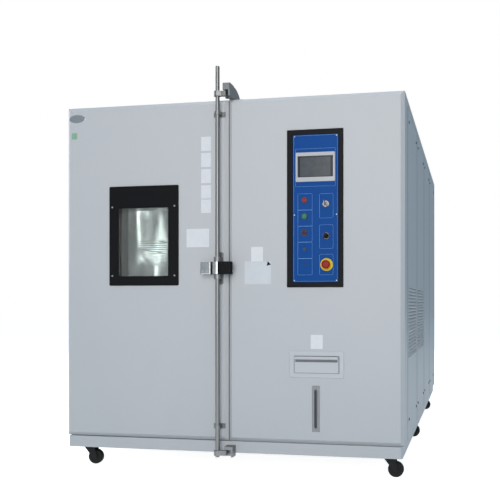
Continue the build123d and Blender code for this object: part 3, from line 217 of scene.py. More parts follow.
# Insulation: polyurethane foam sprayed between skin and liner, where it hardens and holds both together.
# It is yellowish and dull, with its fine cells open wherever it was cut.
foam = new_material("rigid_polyurethane_foam")
where = add_node(foam, "TexCoord", {}).outputs["Object"]
# A cell is about 2 mm across.
cells = add_node(foam, "TexVoronoi", {"Vector": where, "Scale": 420.0}).outputs["Distance"]
tone = add_node(foam, "Mix", {0: cells, 6: colour("C9A866"), 7: colour("E6D2A0")}, data_type="RGBA").outputs[2]
pits = add_node(foam, "Bump", {"Height": cells, "Strength": 0.6, "Distance": 0.001}).outputs["Normal"]
shader = add_node(foam, "BsdfPrincipled", {"Base Color": tone, "Roughness": 0.9, "Normal": pits})
add_node(foam, "OutputMaterial", {"Surface": shader.outputs["BSDF"]})
paint_nodes(foam, "chamber_insulation", "door_foam")

# Door seal: a hollow profile of extruded silicone, pushed into the throat frame and joined at the corners.
# It is pale grey and dull, with a little dust in its surface.
silicone = new_material("extruded_silicone")
where = add_node(silicone, "TexCoord", {}).outputs["Object"]
mottle = add_node(silicone, "TexNoise", {"Vector": where, "Scale": 60.0, "Detail": 6.0}).outputs["Fac"]
tone = add_node(silicone, "Mix", {0: mottle, 6: colour("B9BBBC"), 7: colour("9DA0A2")}, data_type="RGBA").outputs[2]
skin = add_node(silicone, "Bump", {"Height": mottle, "Strength": 0.2, "Distance": 0.0005}).outputs["Normal"]
shader = add_node(
    silicone,
    "BsdfPrincipled",
    {"Base Color": tone, "Roughness": 0.6, "Subsurface Weight": 0.05, "Normal": skin},
)
add_node(silicone, "OutputMaterial", {"Surface": shader.outputs["BSDF"]})
paint_nodes(silicone, "door_seal")

# Door: one bent and welded pan in the cabinet's paint, with the window's black surround screwed on.
# Four pan-head screws of bright zinc hold the surround.
paint_nodes(grey_paint, "door_skin")
black_surround = powder_coat("satin_black_powder_coat", "0E0F11", "17191C", 0.45, 0.1)
paint_nodes(black_surround, "window_bezel")
bright_zinc = brushed_metal("bright_zinc_plated_steel", "B9BBBC", 0.3, (300.0, 300.0, 300.0))


def add_piece(name, shape, material, body):
    """Makes a piece of a finished bmesh. It rides on its body and takes its finish from the record's slot."""
    mesh = bpy.data.meshes.new(name)
    shape.to_mesh(mesh)
    shape.free()
    mesh.materials.append(material)
    piece = bpy.data.objects.new(name, mesh)
    bpy.context.scene.collection.objects.link(piece)
    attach(piece, body)
    return piece


def screw_heads(spots, radius, outward):
    """Pan heads with a hexagon socket. Each spot is the middle of a head's seat, and outward the way it faces."""
    heads = bmesh.new()
    turn = Vector((0, 0, 1)).rotation_difference(Vector(outward)).to_matrix().to_4x4()
    depth = 0.6 * radius
    for spot in spots:
        seat = Matrix.Translation(Vector(spot) + Vector(outward) * depth / 2) @ turn
        made = bmesh.ops.create_cone(
            heads,
            cap_ends=True,
            segments=18,
            radius1=radius,
            radius2=radius * 0.8,
            depth=depth,
            matrix=seat,
        )
        top = max(
            {face for vert in made["verts"] for face in vert.link_faces},
            key=lambda face: face.calc_center_median().dot(Vector(outward)),
        )
        bmesh.ops.inset_region(heads, faces=[top], thickness=radius * 0.12)
        bmesh.ops.inset_region(heads, faces=[top], thickness=radius * 0.22)
        bmesh.ops.translate(heads, verts=top.verts, vec=-Vector(outward) * depth * 0.5)
    bmesh.ops.recalc_face_normals(heads, faces=heads.faces)
    return heads


surround_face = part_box("window_bezel")[0][1]
surround_screws = [(x, surround_face, z) for x in (-0.588, -0.2607) for z in (0.9545, 1.2935)]
add_piece("window_surround_screws", screw_heads(surround_screws, 0.0045, (0, -1, 0)), bright_zinc, "door")

# Window: three toughened panes with a heating film, clear with a faint green-blue cast.
# The film leaves a trace of smear on the glass.
glass = new_material("toughened_float_glass")
where = add_node(glass, "TexCoord", {}).outputs["Object"]
smear = add_node(glass, "TexNoise", {"Vector": where, "Scale": 12.0, "Detail": 4.0}).outputs["Fac"]
polish = add_node(glass, "MapRange", {"Value": smear, "To Min": 0.0, "To Max": 0.03}).outputs["Result"]
shader = add_node(
    glass,
    "BsdfPrincipled",
    {
        "Base Color": colour("F4F9F8"),
        "Roughness": polish,
        "IOR": 1.5,
        "Specular IOR Level": 0.12,
        "Transmission Weight": 1.0,
    },
)
add_node(glass, "OutputMaterial", {"Surface": shader.outputs["BSDF"]})
paint_nodes(glass, "window_panes")


# Blank labels of white vinyl: a column beside the rod, a wide one below it and two small ones near the controls.
# They are 0.2 mm thick and stuck on the paint.


def flat_plate(plates, x, z, seat, thick, corner, line=None):
    """Adds a thin plate with rounded corners that stands out of the plane y = seat and faces the door's user.
    With line, only a printed outline of that width stands, and the middle lies below the seat."""
    part = bmesh.new()
    sunk = 0.0006
    middle = Matrix.Translation(((x[0] + x[1]) / 2, seat + (sunk - thick) / 2, (z[0] + z[1]) / 2))
    size = Matrix.Diagonal((x[1] - x[0], thick + sunk, z[1] - z[0], 1))
    bmesh.ops.create_cube(part, size=1, matrix=middle @ size)
    corners = [edge for edge in part.edges if edge.verts[0].co.y != edge.verts[1].co.y]
    bmesh.ops.bevel(part, geom=corners, offset=corner, segments=4, profile=0.5, affect="EDGES", material=-1)
    if line:
        front = min(part.faces, key=lambda face: face.calc_center_median().y)
        bmesh.ops.inset_region(part, faces=[front], thickness=line)
        bmesh.ops.translate(part, verts=front.verts, vec=(0, thick + 0.0002, 0))
    joined = bpy.data.meshes.new("part")
    part.to_mesh(joined)
    part.free()
    plates.from_mesh(joined)
    bpy.data.meshes.remove(joined)


def printed_vinyl(name, base, shade, rough):
    """Soft plastic sheet: even colour, a slightly uneven surface and a little rubbed dust."""
    vinyl = new_material(name)
    where = add_node(vinyl, "TexCoord", {}).outputs["Object"]
    rubbed = add_node(vinyl, "TexNoise", {"Vector": where, "Scale": 45.0, "Detail": 5.0}).outputs["Fac"]
    tone = add_node(vinyl, "Mix", {0: rubbed, 6: colour(base), 7: colour(shade)}, data_type="RGBA").outputs[2]
    skin = add_node(vinyl, "Bump", {"Height": rubbed, "Strength": 0.15, "Distance": 0.0004}).outputs["Normal"]
    shader = add_node(vinyl, "BsdfPrincipled", {"Base Color": tone, "Roughness": rough, "Normal": skin})
    add_node(vinyl, "OutputMaterial", {"Surface": shader.outputs["BSDF"]})
    return vinyl


white_vinyl = printed_vinyl("white_vinyl_label", "E2E4E8", "D4D8DC", 0.45)
front_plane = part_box("door_skin")[0][1]
label_t = 0.0002
label_corner = 0.003
half_label = 0.034
door_labels = bmesh.new()
for mid_z in (1.590, 1.512, 1.434, 1.356, 1.290):
    label_z = (mid_z - half_label, mid_z + half_label)
    flat_plate(door_labels, (-0.126, -0.076), label_z, front_plane, label_t, label_corner)
flat_plate(door_labels, (-0.2009, -0.0854), (1.091, 1.180), front_plane, label_t, label_corner)
add_piece("door_labels", door_labels, white_vinyl, "door")
front_labels = bmesh.new()
flat_plate(front_labels, (0.1264, 0.1851), (1.015, 1.088), front_plane, label_t, label_corner)
flat_plate(front_labels, (0.4182, 0.476), (0.605, 0.671), front_plane, label_t, label_corner)
add_piece("front_labels", front_labels, white_vinyl, "cabinet")

# Badge plate: a bare oval of stamped and brushed anodised aluminium, glued to the door's top corner.
# A small green vinyl label is stuck on below it.
anodised = brushed_metal("brushed_anodised_aluminium", "A9ADB1", 0.34, (40.0, 900.0, 900.0))
badge_r = 0.045
badge_t = 0.0012
badge_rim = 0.003
badge = bmesh.new()
bmesh.ops.create_cone(
    badge,
    cap_ends=True,
    segments=48,
    radius1=badge_r,
    radius2=badge_r - 0.002,
    depth=badge_t,
    matrix=Matrix.Translation((-0.782, front_plane - badge_t / 2, 1.742))
    @ Matrix.Rotation(math.pi / 2, 4, "X")
    @ Matrix.Diagonal((1.0, 0.48, 1.0, 1.0)),
)
rim = [face for face in badge.faces if len(face.verts) > 4 and face.calc_center_median().y < front_plane - 0.001]
bmesh.ops.inset_region(badge, faces=rim, thickness=badge_rim)
bmesh.ops.translate(badge, verts=rim[0].verts, vec=(0, 0.0005, 0))
add_piece("badge_plate", badge, anodised, "door")
green_vinyl = printed_vinyl("green_vinyl_label", "7FAE8D", "93B79D", 0.45)
green_label = bmesh.new()
flat_plate(green_label, (-0.812, -0.782), (1.640, 1.672), front_plane, label_t, label_corner)
add_piece("green_label", green_label, green_vinyl, "door")

# Hinges, lock rod and case: chrome plated steel, bright with a trace of fingerprints.
# The rod is drawn tube of 20 mm, so its marks run along it.
chrome = brushed_metal("chrome_plated_steel", "B9BABB", 0.22, (60.0, 60.0, 60.0))
rod_steel = brushed_metal("drawn_chromed_tube", "7A7B7B", 0.36, (700.0, 700.0, 10.0))
paint_nodes(chrome, "lock_case", "hinge_body_leaves", "hinge_door_leaves")
paint_nodes(rod_steel, "lock_rod")
zinc = brushed_metal("zinc_plated_steel_casting", "7B7E80", 0.42, (120.0, 120.0, 120.0))
paint_nodes(zinc, "lock_claws_and_hub", "lock_keepers", "rod_guides", "key_switch")

# Grip: moulded black nylon over the lever, with a fine spark-eroded grain.
nylon = new_material("moulded_black_nylon")
where = add_node(nylon, "TexCoord", {}).outputs["Object"]
# The eroded grain of the mould is about 1 mm coarse.
spark = add_node(nylon, "TexNoise", {"Vector": where, "Scale": 900.0, "Detail": 2.0}).outputs["Fac"]
hands = add_node(nylon, "TexNoise", {"Vector": where, "Scale": 30.0, "Detail": 4.0}).outputs["Fac"]
polish = add_node(nylon, "MapRange", {"Value": hands, "To Min": 0.3, "To Max": 0.5}).outputs["Result"]
tone = add_node(nylon, "Mix", {0: hands, 6: colour("070708"), 7: colour("111214")}, data_type="RGBA").outputs[2]
grain = add_node(nylon, "Bump", {"Height": spark, "Strength": 0.25, "Distance": 0.0002}).outputs["Normal"]
shader = add_node(
    nylon,
    "BsdfPrincipled",
    {"Base Color": tone, "Roughness": polish, "Specular IOR Level": 0.12, "Normal": grain},
)
add_node(nylon, "OutputMaterial", {"Surface": shader.outputs["BSDF"]})
paint_nodes(nylon, "lever_grip", "selector_knob", "side_panel_screws")

# Hub shell: a polished chrome cover that goes round the rod and hides the clamped hub between case and grip.
# It is pressed on over the hub and turns with the lever.
rod_low, rod_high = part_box("lock_rod")
hub_low, hub_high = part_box("lever_grip")
rod_x = (rod_low[0] + rod_high[0]) / 2
rod_y = (rod_low[1] + rod_high[1]) / 2
shell_r = 0.0255
shell_low = hub_low[2] + 0.001
shell_high = hub_high[2] - 0.001
mouth = 0.43
hub_shell = bmesh.new()
shell_wall = bmesh.ops.create_circle(hub_shell, cap_ends=False, segments=40, radius=shell_r)
bmesh.ops.translate(hub_shell, verts=shell_wall["verts"], vec=(rod_x, rod_y, shell_low))
grown = bmesh.ops.extrude_edge_only(hub_shell, edges=hub_shell.edges[:])
risen = [item for item in grown["geom"] if isinstance(item, bmesh.types.BMVert)]
bmesh.ops.translate(hub_shell, verts=risen, vec=(0, 0, shell_high - shell_low))
for rim_z in (shell_low, shell_high):
    rim = [edge for edge in hub_shell.edges if all(abs(vert.co.z - rim_z) < 1e-5 for vert in edge.verts)]
    lip = bmesh.ops.extrude_edge_only(hub_shell, edges=rim)
    lip = [item for item in lip["geom"] if isinstance(item, bmesh.types.BMVert)]
    inward = Matrix.Translation((rod_x, rod_y, 0)) @ Matrix.Diagonal((mouth, mouth, 1, 1))
    bmesh.ops.transform(hub_shell, matrix=inward @ Matrix.Translation((-rod_x, -rod_y, 0)), verts=lip)
bmesh.ops.recalc_face_normals(hub_shell, faces=hub_shell.faces)
add_piece("hub_shell", hub_shell, chrome, "lock")

# Machine half: bent front pan, lift-off side panels and rear panel, all in the cabinet's paint.
# Its electrical box takes the same paint, the refrigeration unit and circulation motor are black lacquered, and
# the condenser fan is anodised aluminium.
paint_nodes(
    grey_paint,
    "machine_front",
    "machine_rear_panel",
    "plain_side_panels",
    "louvred_side_panels",
    "electrical_box",
)
paint_nodes(black_lacquer, "refrigeration_unit", "circulation_motor")
paint_nodes(anodised, "condenser_fan")

# Seam shade strips: near-black strips in the 3 mm gaps between the side panels, where the lips lie 0.5 mm
# proud over the edges, and deeper in the gap between the chamber half and the machine half. They are painted
# shade of these seams.
seam_shade_black = printed_vinyl("black_painted_seam_shade", "101113", "1C1D20", 0.6)
louvred_low, louvred_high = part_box("louvred_side_panels")
plain_low, plain_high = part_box("plain_side_panels")
panel_edges = (
    louvred_low[1],
    (louvred_low[1] + louvred_high[1]) / 2,
    (louvred_high[1] + plain_low[1]) / 2,
    (plain_low[1] + plain_high[1]) / 2,
    plain_high[1],
)
seam_shade_strips = bmesh.new()
lip_out = 0.0005
lip_in = 0.0010
lip_w = 0.006
for edge_y in panel_edges:
    middle = (louvred_high[0] + (lip_out - lip_in) / 2, edge_y, (louvred_low[2] + louvred_high[2]) / 2)
    size = (lip_out + lip_in, lip_w, louvred_high[2] - louvred_low[2], 1)
    bmesh.ops.create_cube(seam_shade_strips, size=1, matrix=Matrix.Translation(middle) @ Matrix.Diagonal(size))
front_low, front_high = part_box("machine_front")
gap_fill = 0.0022
strip_deep = 0.028
sunk = 0.016
gap_x = front_low[0] - gap_fill / 2
mid_z = (front_low[2] + front_high[2]) / 2
tall = front_high[2] - front_low[2] - 0.004
top = front_high[2]
back = plain_high[1]
# Painted shade: dark strips deep in the gap between the two halves, at the front, at the back and along the top.
for middle, size in (
    ((gap_x, front_low[1] + sunk + strip_deep / 2, mid_z), (gap_fill, strip_deep, tall, 1)),
    ((gap_x, back - strip_deep, mid_z), (gap_fill, strip_deep, tall, 1)),
    ((gap_x, (front_low[1] + back) / 2, top - strip_deep), (gap_fill, back - front_low[1] - 0.05, strip_deep, 1)),
):
    bmesh.ops.create_cube(seam_shade_strips, size=1, matrix=Matrix.Translation(middle) @ Matrix.Diagonal(size))
add_piece("seam_shade_strips", seam_shade_strips, seam_shade_black, "cabinet")

# Flank sheet: a flat painted sheet that closes the machine half toward the door's recess, from the front pan's
# return to the chamber's face. It is screwed to the frame from inside, so nothing shows on it.
flank = bmesh.new()
chamber_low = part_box("chamber_skin")[0]
flank_y = (front_high[1], chamber_low[1] + 0.03)
proud = 0.0002
sheet_t = 0.0012
middle = (gap_x + (gap_fill + sheet_t) / 2 - proud, (flank_y[0] + flank_y[1]) / 2, mid_z)
bmesh.ops.create_cube(
    flank,
    size=1,
    matrix=Matrix.Translation(middle) @ Matrix.Diagonal((sheet_t, flank_y[1] - flank_y[0], tall, 1)),
)
add_piece("machine_flank_sheet", flank, grey_paint, "cabinet")

# Fan guard: rings of welded 3.2 mm wire, plated bright like the screws, over the mouth of the condenser fan.
# They lie on the guard's cross bars.
guard_at = Vector((0.43575, 1.3055, 1.335))
wire_r = 0.0016
guard_rings = bmesh.new()
for ring_r in (0.03, 0.058, 0.086, 0.114, 0.142, 0.17, 0.195):
    wire = bmesh.ops.create_circle(guard_rings, segments=8, radius=wire_r)
    bmesh.ops.translate(guard_rings, verts=wire["verts"], vec=guard_at + Vector((ring_r, 0, 0)))
    bmesh.ops.spin(
        guard_rings,
        geom=wire["verts"] + list({edge for vert in wire["verts"] for edge in vert.link_edges}),
        cent=guard_at,
        axis=(0, 1, 0),
        angle=2 * math.pi,
        steps=64,
        use_merge=True,
    )
bmesh.ops.remove_doubles(guard_rings, verts=guard_rings.verts, dist=0.00001)
bmesh.ops.recalc_face_normals(guard_rings, faces=guard_rings.faces)
add_piece("fan_guard_rings", guard_rings, bright_zinc, "cabinet")

# Rear screws: steel pan heads, plated bright, in two rows on each of the two rear covers.
# They hold the machine's rear panel and the motor bay cover along their upright edges.
rear_low, rear_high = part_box("machine_rear_panel")
bay_low, bay_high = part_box("motor_bay_cover")
edge_in = 0.015
rear_screws = [
    (x, bay_high[1], z)
    for x in (rear_low[0] + edge_in, rear_high[0] - edge_in, bay_low[0] + edge_in, bay_high[0] - edge_in)
    for z in (0.20, 0.72, 1.24, 1.76)
]
add_piece("rear_cover_screws", screw_heads(rear_screws, 0.006, (0, 1, 0)), bright_zinc, "cabinet")

# Louvre hoods: each slot of the two front side panels has a pressed hood that hangs over it like an eyelid.
# They are pressed out of the sheet by 2.4 mm and closed at both ends, so only their lower edges cast a line.
hoods = bmesh.new()
panel_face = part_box("machine_roof")[1][0]
slot_high = 0.009
slot_pitch = 0.017
first_slot = 0.553
slot_rows = 21
hood_w = 0.464
hood_out = 0.0024
for mid_y in (-0.808, -0.240):
    for row in range(slot_rows):
        top = first_slot + row * slot_pitch + slot_high + 0.002
        made = bmesh.ops.create_cone(
            hoods,
            cap_ends=True,
            segments=16,
            radius1=1.0,
            radius2=1.0,
            depth=hood_w,
            matrix=Matrix.Translation((panel_face, mid_y, top))
            @ Matrix.Diagonal((hood_out, 1.0, slot_high - 0.001, 1.0))
            @ Matrix.Rotation(math.pi / 2, 4, "X"),
        )
        verts = made["verts"]
        edges = {edge for vert in verts for edge in vert.link_edges}
        faces = {face for vert in verts for face in vert.link_faces}
        geom = verts + list(edges) + list(faces)
        cut = bmesh.ops.bisect_plane(
            hoods, geom=geom, plane_co=(panel_face, 0, 0), plane_no=(-1, 0, 0), clear_outer=True
        )
        geom = [item for item in cut["geom"] if item.is_valid]
        bmesh.ops.bisect_plane(hoods, geom=geom, plane_co=(0, 0, top), plane_no=(0, 0, 1), clear_outer=True)
add_piece("louvre_hoods", hoods, grey_paint, "cabinet")

# Sleeve for papers: two sheets of clear vinyl welded along three sides and stuck on the machine front.
# Its top corner is cut away for the thumb and shows dark.
pocket_film = printed_vinyl("clear_vinyl_pocket", "D6DADE", "C8CED4", 0.22)
pocket_t = 0.0006
pocket = bmesh.new()
flat_plate(pocket, (0.0939, 0.2247), (0.910, 1.019), front_plane, pocket_t, 0.004)
add_piece("paper_pocket", pocket, pocket_film, "cabinet")
corner_r = 0.013
corner_t = 0.0004
pocket_corner = bmesh.new()
bmesh.ops.create_cone(
    pocket_corner,
    cap_ends=True,
    segments=3,
    radius1=corner_r,
    radius2=corner_r,
    depth=corner_t,
    matrix=Matrix.Translation((0.2125, front_plane - pocket_t - corner_t / 2, 1.0065))
    @ Matrix.Rotation(math.pi / 2, 4, "X")
    @ Matrix.Rotation(math.radians(15), 4, "Z"),
)
add_piece("paper_pocket_corner", pocket_corner, black_surround, "cabinet")

# Control panel: a black coated surround round a blue plate that is silk-screened with pale outlines.
# Six small screws hold the plate.
paint_nodes(black_surround, "control_bezel")
blue_coat = powder_coat("blue_silk_screened_plate", "06468F", "0A498A", 0.42, 0.1)
paint_nodes(blue_coat, "control_plate")
plate_low, plate_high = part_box("control_plate")
plate_face = plate_low[1]
ink = printed_vinyl("pale_screen_printed_ink", "8FC0EE", "7FB4E6", 0.4)
outlines = bmesh.new()
line = 0.0013
ink_t = 0.0002
frame_in = 0.004
flat_plate(
    outlines,
    (plate_low[0] + frame_in, plate_high[0] - frame_in),
    (plate_low[2] + frame_in, plate_high[2] - frame_in),
    plate_face,
    ink_t,
    0.003,
    line,
)
flat_plate(outlines, (0.3455, 0.5375), (1.368, 1.546), plate_face, ink_t, 0.004, line)
left_cells = (1.333, 1.257, 1.181, 1.106, 1.029, 0.952)
for high, low in zip(left_cells, left_cells[1:]):
    flat_plate(outlines, (0.3564, 0.4263), (low, high + line), plate_face, ink_t, 0.004, line)
for low, high in ((0.952, 1.049), (1.075, 1.187), (1.218, 1.333)):
    flat_plate(outlines, (0.4608, 0.5266), (low, high), plate_face, ink_t, 0.006, line)
add_piece("control_plate_outlines", outlines, ink, "cabinet")
screw_in = 0.008
plate_screws = [
    (x, plate_face, z)
    for x in (plate_low[0] + screw_in, plate_high[0] - screw_in)
    for z in (plate_low[2] + screw_in, (plate_low[2] + plate_high[2]) / 2 - 0.03, plate_high[2] - screw_in)
]
add_piece("control_plate_screws", screw_heads(plate_screws, 0.003, (0, -1, 0)), bright_zinc, "cabinet")

# Touch screen: a frame moulded of silver-grey ABS with a fine eroded grain, clipped into the blue plate.
# The display inside has black edges and lies under a glossy, hard-coated film.
screen_frame = new_material("moulded_abs_silver_grey")
where = add_node(screen_frame, "TexCoord", {}).outputs["Object"]
spark = add_node(screen_frame, "TexNoise", {"Vector": where, "Scale": 700.0, "Detail": 2.0}).outputs["Fac"]
smudge = add_node(screen_frame, "TexNoise", {"Vector": where, "Scale": 25.0, "Detail": 4.0}).outputs["Fac"]
tone = add_node(
    screen_frame, "Mix", {0: smudge, 6: colour("B9BCBF"), 7: colour("A6AAAE")}, data_type="RGBA"
).outputs[2]
grain = add_node(screen_frame, "Bump", {"Height": spark, "Strength": 0.15, "Distance": 0.0001}).outputs["Normal"]
shader = add_node(screen_frame, "BsdfPrincipled", {"Base Color": tone, "Roughness": 0.38, "Normal": grain})
add_node(screen_frame, "OutputMaterial", {"Surface": shader.outputs["BSDF"]})
paint_nodes(screen_frame, "touch_screen")


def display_film(name, code):
    """Hard-coated film over a switched-off display: dark, glossy, with faint finger marks."""
    film = new_material(name)
    where = add_node(film, "TexCoord", {}).outputs["Object"]
    touch = add_node(film, "TexNoise", {"Vector": where, "Scale": 40.0, "Detail": 5.0}).outputs["Fac"]
    polish = add_node(film, "MapRange", {"Value": touch, "To Min": 0.08, "To Max": 0.25}).outputs["Result"]
    tone = add_node(film, "Mix", {0: touch, 6: colour(code), 7: colour("3C4146")}, data_type="RGBA").outputs[2]
    tone.node.inputs[0].default_value = 0.2
    shader = add_node(
        film, "BsdfPrincipled", {"Base Color": tone, "Roughness": polish, "Specular IOR Level": 0.15}
    )
    add_node(film, "OutputMaterial", {"Surface": shader.outputs["BSDF"]})
    return film


display_y = -1.257
edge_t = 0.0003
black_edge = bmesh.new()
flat_plate(black_edge, (0.3565, 0.5265), (1.4115, 1.5105), display_y, edge_t, 0.001)
add_piece("display_edge", black_edge, display_film("black_display_border", "15171A"), "cabinet")
display = bmesh.new()
flat_plate(display, (0.3685, 0.5145), (1.4145, 1.5045), display_y - edge_t, 0.0002, 0.001)
add_piece("display", display, display_film("grey_liquid_crystal_display", "555C62"), "cabinet")

# Pilot lamps: lenses moulded of acrylic and screwed into black collars, red, green and dark red from the top.
# None of them is lit, so they are deep in colour, with a faint ribbing that breaks up the highlight.
lens = new_material("moulded_acrylic_lens")
where = add_node(lens, "TexCoord", {}).outputs["Object"]
height = add_node(lens, "SeparateXYZ", {"Vector": where}).outputs["Z"]
level = add_node(lens, "MapRange", {"Value": height, "From Min": 1.11, "From Max": 1.34}).outputs["Result"]
tint = add_node(lens, "ValToRGB", {"Fac": level})
tint.color_ramp.interpolation = "CONSTANT"
tint.color_ramp.elements[0].color = colour("3A1030")
tint.color_ramp.elements[1].position = 0.67
tint.color_ramp.elements[1].color = colour("8C1836")
middle = tint.color_ramp.elements.new(0.34)
middle.color = colour("0E7E5E")
ribs = add_node(lens, "TexNoise", {"Vector": where, "Scale": 400.0, "Detail": 1.0}).outputs["Fac"]
bump = add_node(lens, "Bump", {"Height": ribs, "Strength": 0.2, "Distance": 0.0003}).outputs["Normal"]
shader = add_node(
    lens,
    "BsdfPrincipled",
    {"Base Color": tint.outputs["Color"], "Roughness": 0.2, "Specular IOR Level": 0.25, "Normal": bump},
)
add_node(lens, "OutputMaterial", {"Surface": shader.outputs["BSDF"]})
paint_nodes(lens, "lamp_lenses")


# Collars: turned rings, screwed up from behind the plate. Those of the key and the selector are plated,
# and those of the lamps, the buzzer and the small led are blackened, which one material tells apart by place.
collar = brushed_metal("chromed_and_blackened_collars", "D5D7D9", 0.2, (60.0, 60.0, 60.0))
collar_shader = collar.node_tree.nodes["Principled BSDF"]
where = add_node(collar, "TexCoord", {}).outputs["Object"]
across = add_node(collar, "SeparateXYZ", {"Vector": where}).outputs["X"]
right_column_x = 0.44
plated = add_node(collar, "Math", {0: across, 1: right_column_x}, operation="GREATER_THAN").outputs[0]
tone = add_node(collar, "Mix", {0: plated, 6: colour("1A1B20"), 7: colour("6C6E70")}, data_type="RGBA").outputs[2]
collar.node_tree.links.new(tone, collar_shader.inputs["Base Color"])
collar.node_tree.links.new(plated, collar_shader.inputs["Metallic"])
paint_nodes(collar, "switch_collars")

# Stop button: a red mushroom head moulded of polycarbonate, on a yellow disc of the same plastic.
# Both are glossy, with fine scratches from hands.


def gloss_plastic(name, base, shade):
    """Injection moulded plastic with a polished face and fine scratches from hands."""
    plastic = new_material(name)
    where = add_node(plastic, "TexCoord", {}).outputs["Object"]
    marks = add_node(plastic, "TexNoise", {"Vector": where, "Scale": 90.0, "Detail": 6.0}).outputs["Fac"]
    polish = add_node(plastic, "MapRange", {"Value": marks, "To Min": 0.2, "To Max": 0.4}).outputs["Result"]
    tone = add_node(plastic, "Mix", {0: marks, 6: colour(base), 7: colour(shade)}, data_type="RGBA").outputs[2]
    bump = add_node(plastic, "Bump", {"Height": marks, "Strength": 0.06, "Distance": 0.0002}).outputs["Normal"]
    shader = add_node(
        plastic,
        "BsdfPrincipled",
        {"Base Color": tone, "Roughness": polish, "Specular IOR Level": 0.2, "Normal": bump},
    )
    add_node(plastic, "OutputMaterial", {"Surface": shader.outputs["BSDF"]})
    return plastic


paint_nodes(gloss_plastic("red_moulded_polycarbonate", "9A1C14", "821610"), "stop_button")
paint_nodes(gloss_plastic("yellow_moulded_polycarbonate", "E2C51E", "CFB21C"), "stop_button_ring")

# Water drawer: a folded steel tray on runners behind a framed opening, which is screwed on from inside.
# Both have a pale grey powder coat, a shade lighter than the cabinet.
drawer_paint = powder_coat("white_powder_coat", "C9CCD0", "BABFC4", 0.36)
paint_nodes(drawer_paint, "water_drawer", "drawer_frame")

# Drawer pull: a rounded lip along the top of the drawer's front, rolled from its sheet and painted with it.
# It stands over the recess for the fingers and throws a dark line there.
drawer_low, drawer_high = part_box("water_drawer")
pull_out = 0.008
half_pull = 0.0075
lip = bmesh.new()
bmesh.ops.create_cone(
    lip,
    cap_ends=True,
    segments=20,
    radius1=1.0,
    radius2=1.0,
    depth=drawer_high[0] - drawer_low[0] - 0.004,
    matrix=Matrix.Translation(((drawer_low[0] + drawer_high[0]) / 2, drawer_low[1], drawer_high[2] - 0.009))
    @ Matrix.Diagonal((1.0, pull_out, half_pull, 1.0))
    @ Matrix.Rotation(math.pi / 2, 4, "Y"),
)
add_piece("drawer_pull_lip", lip, drawer_paint, "water_drawer")

# Drawer gap line: a thin dark grey edge round the drawer's front, drawn out with it.
# It is painted shade of the clearance between drawer and frame, and shows as the fine dark line inside the frame.
gap_shade_grey = printed_vinyl("grey_painted_gap_shade", "5E6266", "6B6F74", 0.6)
gap_line_in = 0.0002
gap_line_t = 0.0004
gap_line_w = 0.0026
drawer_gap_shade = bmesh.new()
flat_plate(
    drawer_gap_shade,
    (drawer_low[0] + gap_line_in, drawer_high[0] - gap_line_in),
    (drawer_low[2] + gap_line_in, drawer_high[2] - gap_line_in),
    drawer_low[1],
    gap_line_t,
    0.002,
    gap_line_w,
)
add_piece("drawer_gap_shade_line", drawer_gap_shade, gap_shade_grey, "water_drawer")

# Level gauge: a brushed stainless plate with a long slot, and behind it a glass tube that looks dark.
# One material tells plate and tube apart by place, because both are in one piece.
tube_x = 0.4435
half_slot = 0.0026
plate_back = -1.2525
gauge = new_material("gauge_plate_and_tube")
where = add_node(gauge, "TexCoord", {}).outputs["Object"]
across = add_node(gauge, "SeparateXYZ", {"Vector": where})
off_centre = add_node(gauge, "Math", {0: across.outputs["X"], 1: tube_x}, operation="SUBTRACT").outputs[0]
near = add_node(gauge, "Math", {0: off_centre}, operation="ABSOLUTE").outputs[0]
slim = add_node(gauge, "Math", {0: near, 1: half_slot}, operation="LESS_THAN").outputs[0]
deep = add_node(gauge, "Math", {0: across.outputs["Y"], 1: plate_back}, operation="GREATER_THAN").outputs[0]
tube = add_node(gauge, "Math", {0: slim, 1: deep}, operation="MULTIPLY").outputs[0]
lines = add_node(gauge, "Mapping", {"Vector": where, "Scale": (900.0, 900.0, 20.0)}).outputs["Vector"]
brush = add_node(gauge, "TexNoise", {"Vector": lines, "Scale": 1.0}).outputs["Fac"]
steel = add_node(gauge, "Mix", {0: brush, 6: colour("7F8285"), 7: colour("686C70")}, data_type="RGBA").outputs[2]
tone = add_node(gauge, "Mix", {0: tube, 6: steel, 7: colour("565B60")}, data_type="RGBA").outputs[2]
metal = add_node(gauge, "Math", {0: 1.0, 1: tube}, operation="SUBTRACT").outputs[0]
shader = add_node(gauge, "BsdfPrincipled", {"Base Color": tone, "Metallic": metal, "Roughness": 0.3})
add_node(gauge, "OutputMaterial", {"Surface": shader.outputs["BSDF"]})
paint_nodes(gauge, "level_gauge")

# Studio: a wide white floor that runs on as the background, large soft lamps in front, at the left, behind and
# overhead, and pale blue light from all round. A narrow lamp stands for the one in the test space.
floor_shape = bmesh.new()
bmesh.ops.create_grid(floor_shape, x_segments=8, y_segments=8, size=30.0)
floor_mesh = bpy.data.meshes.new("studio_floor")
floor_shape.to_mesh(floor_mesh)
floor_shape.free()
studio_floor = bpy.data.objects.new("studio_floor", floor_mesh)
bpy.context.scene.collection.objects.link(studio_floor)
vinyl_floor = new_material("white_studio_floor")
rays = add_node(vinyl_floor, "LightPath", {})
seen = add_node(
    vinyl_floor,
    "Math",
    {0: rays.outputs["Is Camera Ray"], 1: rays.outputs["Is Transmission Ray"]},
    operation="MAXIMUM",
)
seen = add_node(
    vinyl_floor, "Math", {0: seen.outputs[0], 1: rays.outputs["Is Glossy Ray"]}, operation="MAXIMUM"
)
matt = add_node(vinyl_floor, "BsdfDiffuse", {"Color": (0.8, 0.8, 0.8, 1.0)}).outputs["BSDF"]
glow = add_node(vinyl_floor, "Emission", {"Color": (1.0, 1.0, 1.0, 1.0), "Strength": 0.9}).outputs["Emission"]
both = add_node(vinyl_floor, "AddShader", {0: matt, 1: glow}).outputs["Shader"]
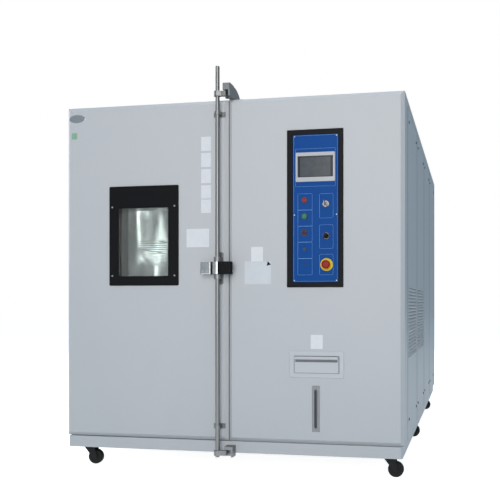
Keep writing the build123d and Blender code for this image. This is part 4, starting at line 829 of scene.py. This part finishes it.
mixed = add_node(vinyl_floor, "MixShader", {0: seen.outputs[0], 1: matt, 2: both}).outputs["Shader"]
add_node(vinyl_floor, "OutputMaterial", {"Surface": mixed})
floor_mesh.materials.append(vinyl_floor)

world = bpy.data.worlds.new("studio_world")
world.use_nodes = True
world.node_tree.nodes.clear()
rays = add_node(world, "LightPath", {})
seen = add_node(
    world,
    "Math",
    {0: rays.outputs["Is Camera Ray"], 1: rays.outputs["Is Transmission Ray"]},
    operation="MAXIMUM",
)
mirrored = add_node(world, "Math", {0: rays.outputs["Is Glossy Ray"], 1: 0.4}, operation="MULTIPLY")
seen = add_node(world, "Math", {0: seen.outputs[0], 1: mirrored.outputs[0]}, operation="MAXIMUM")
around = add_node(world, "Background", {"Color": (0.23, 0.45, 0.64, 1.0), "Strength": 0.48}).outputs["Background"]
white = add_node(world, "Background", {"Color": (1.0, 1.0, 1.0, 1.0), "Strength": 1.0}).outputs["Background"]
mixed = add_node(world, "MixShader", {0: seen.outputs[0], 1: around, 2: white}).outputs["Shader"]
add_node(world, "OutputWorld", {"Surface": mixed})
bpy.context.scene.world = world

for name, place, target, size, watts, tint in (
    ("rear_lamp", (-2.5, 6.5, 2.6), (0.0, 1.3, 0.9), (3.5, 3.5), 130.0, (1.0, 0.96, 0.92)),
    ("left_lamp", (-6.0, 0.5, 2.6), (-0.8, 0.0, 0.9), (3.5, 3.5), 110.0, (0.97, 0.98, 1.0)),
    ("front_lamp", (0.9, -6.3, 2.4), (0.1, -1.25, 0.9), (3.5, 3.5), 190.0, (1.0, 0.915, 0.855)),
    ("overhead_lamp", (0.0, -0.5, 6.0), (0.0, 0.0, 0.0), (5.0, 5.0), 105.0, (0.97, 0.98, 1.0)),
    ("test_space_lamp", (-0.26, 0.40, 1.2), (-0.74, -0.54, 1.15), (0.04, 0.8), 0.6, (1.0, 0.98, 0.94)),
):
    lamp_data = bpy.data.lights.new(name, "AREA")
    lamp_data.energy = watts
    lamp_data.shape = "RECTANGLE"
    lamp_data.size, lamp_data.size_y = size
    lamp_data.color = tint
    lamp = bpy.data.objects.new(name, lamp_data)
    lamp.location = place
    lamp.rotation_euler = (Vector(target) - Vector(place)).to_track_quat("-Z", "Y").to_euler()
    bpy.context.scene.collection.objects.link(lamp)

bpy.context.scene.view_settings.view_transform = "Standard"
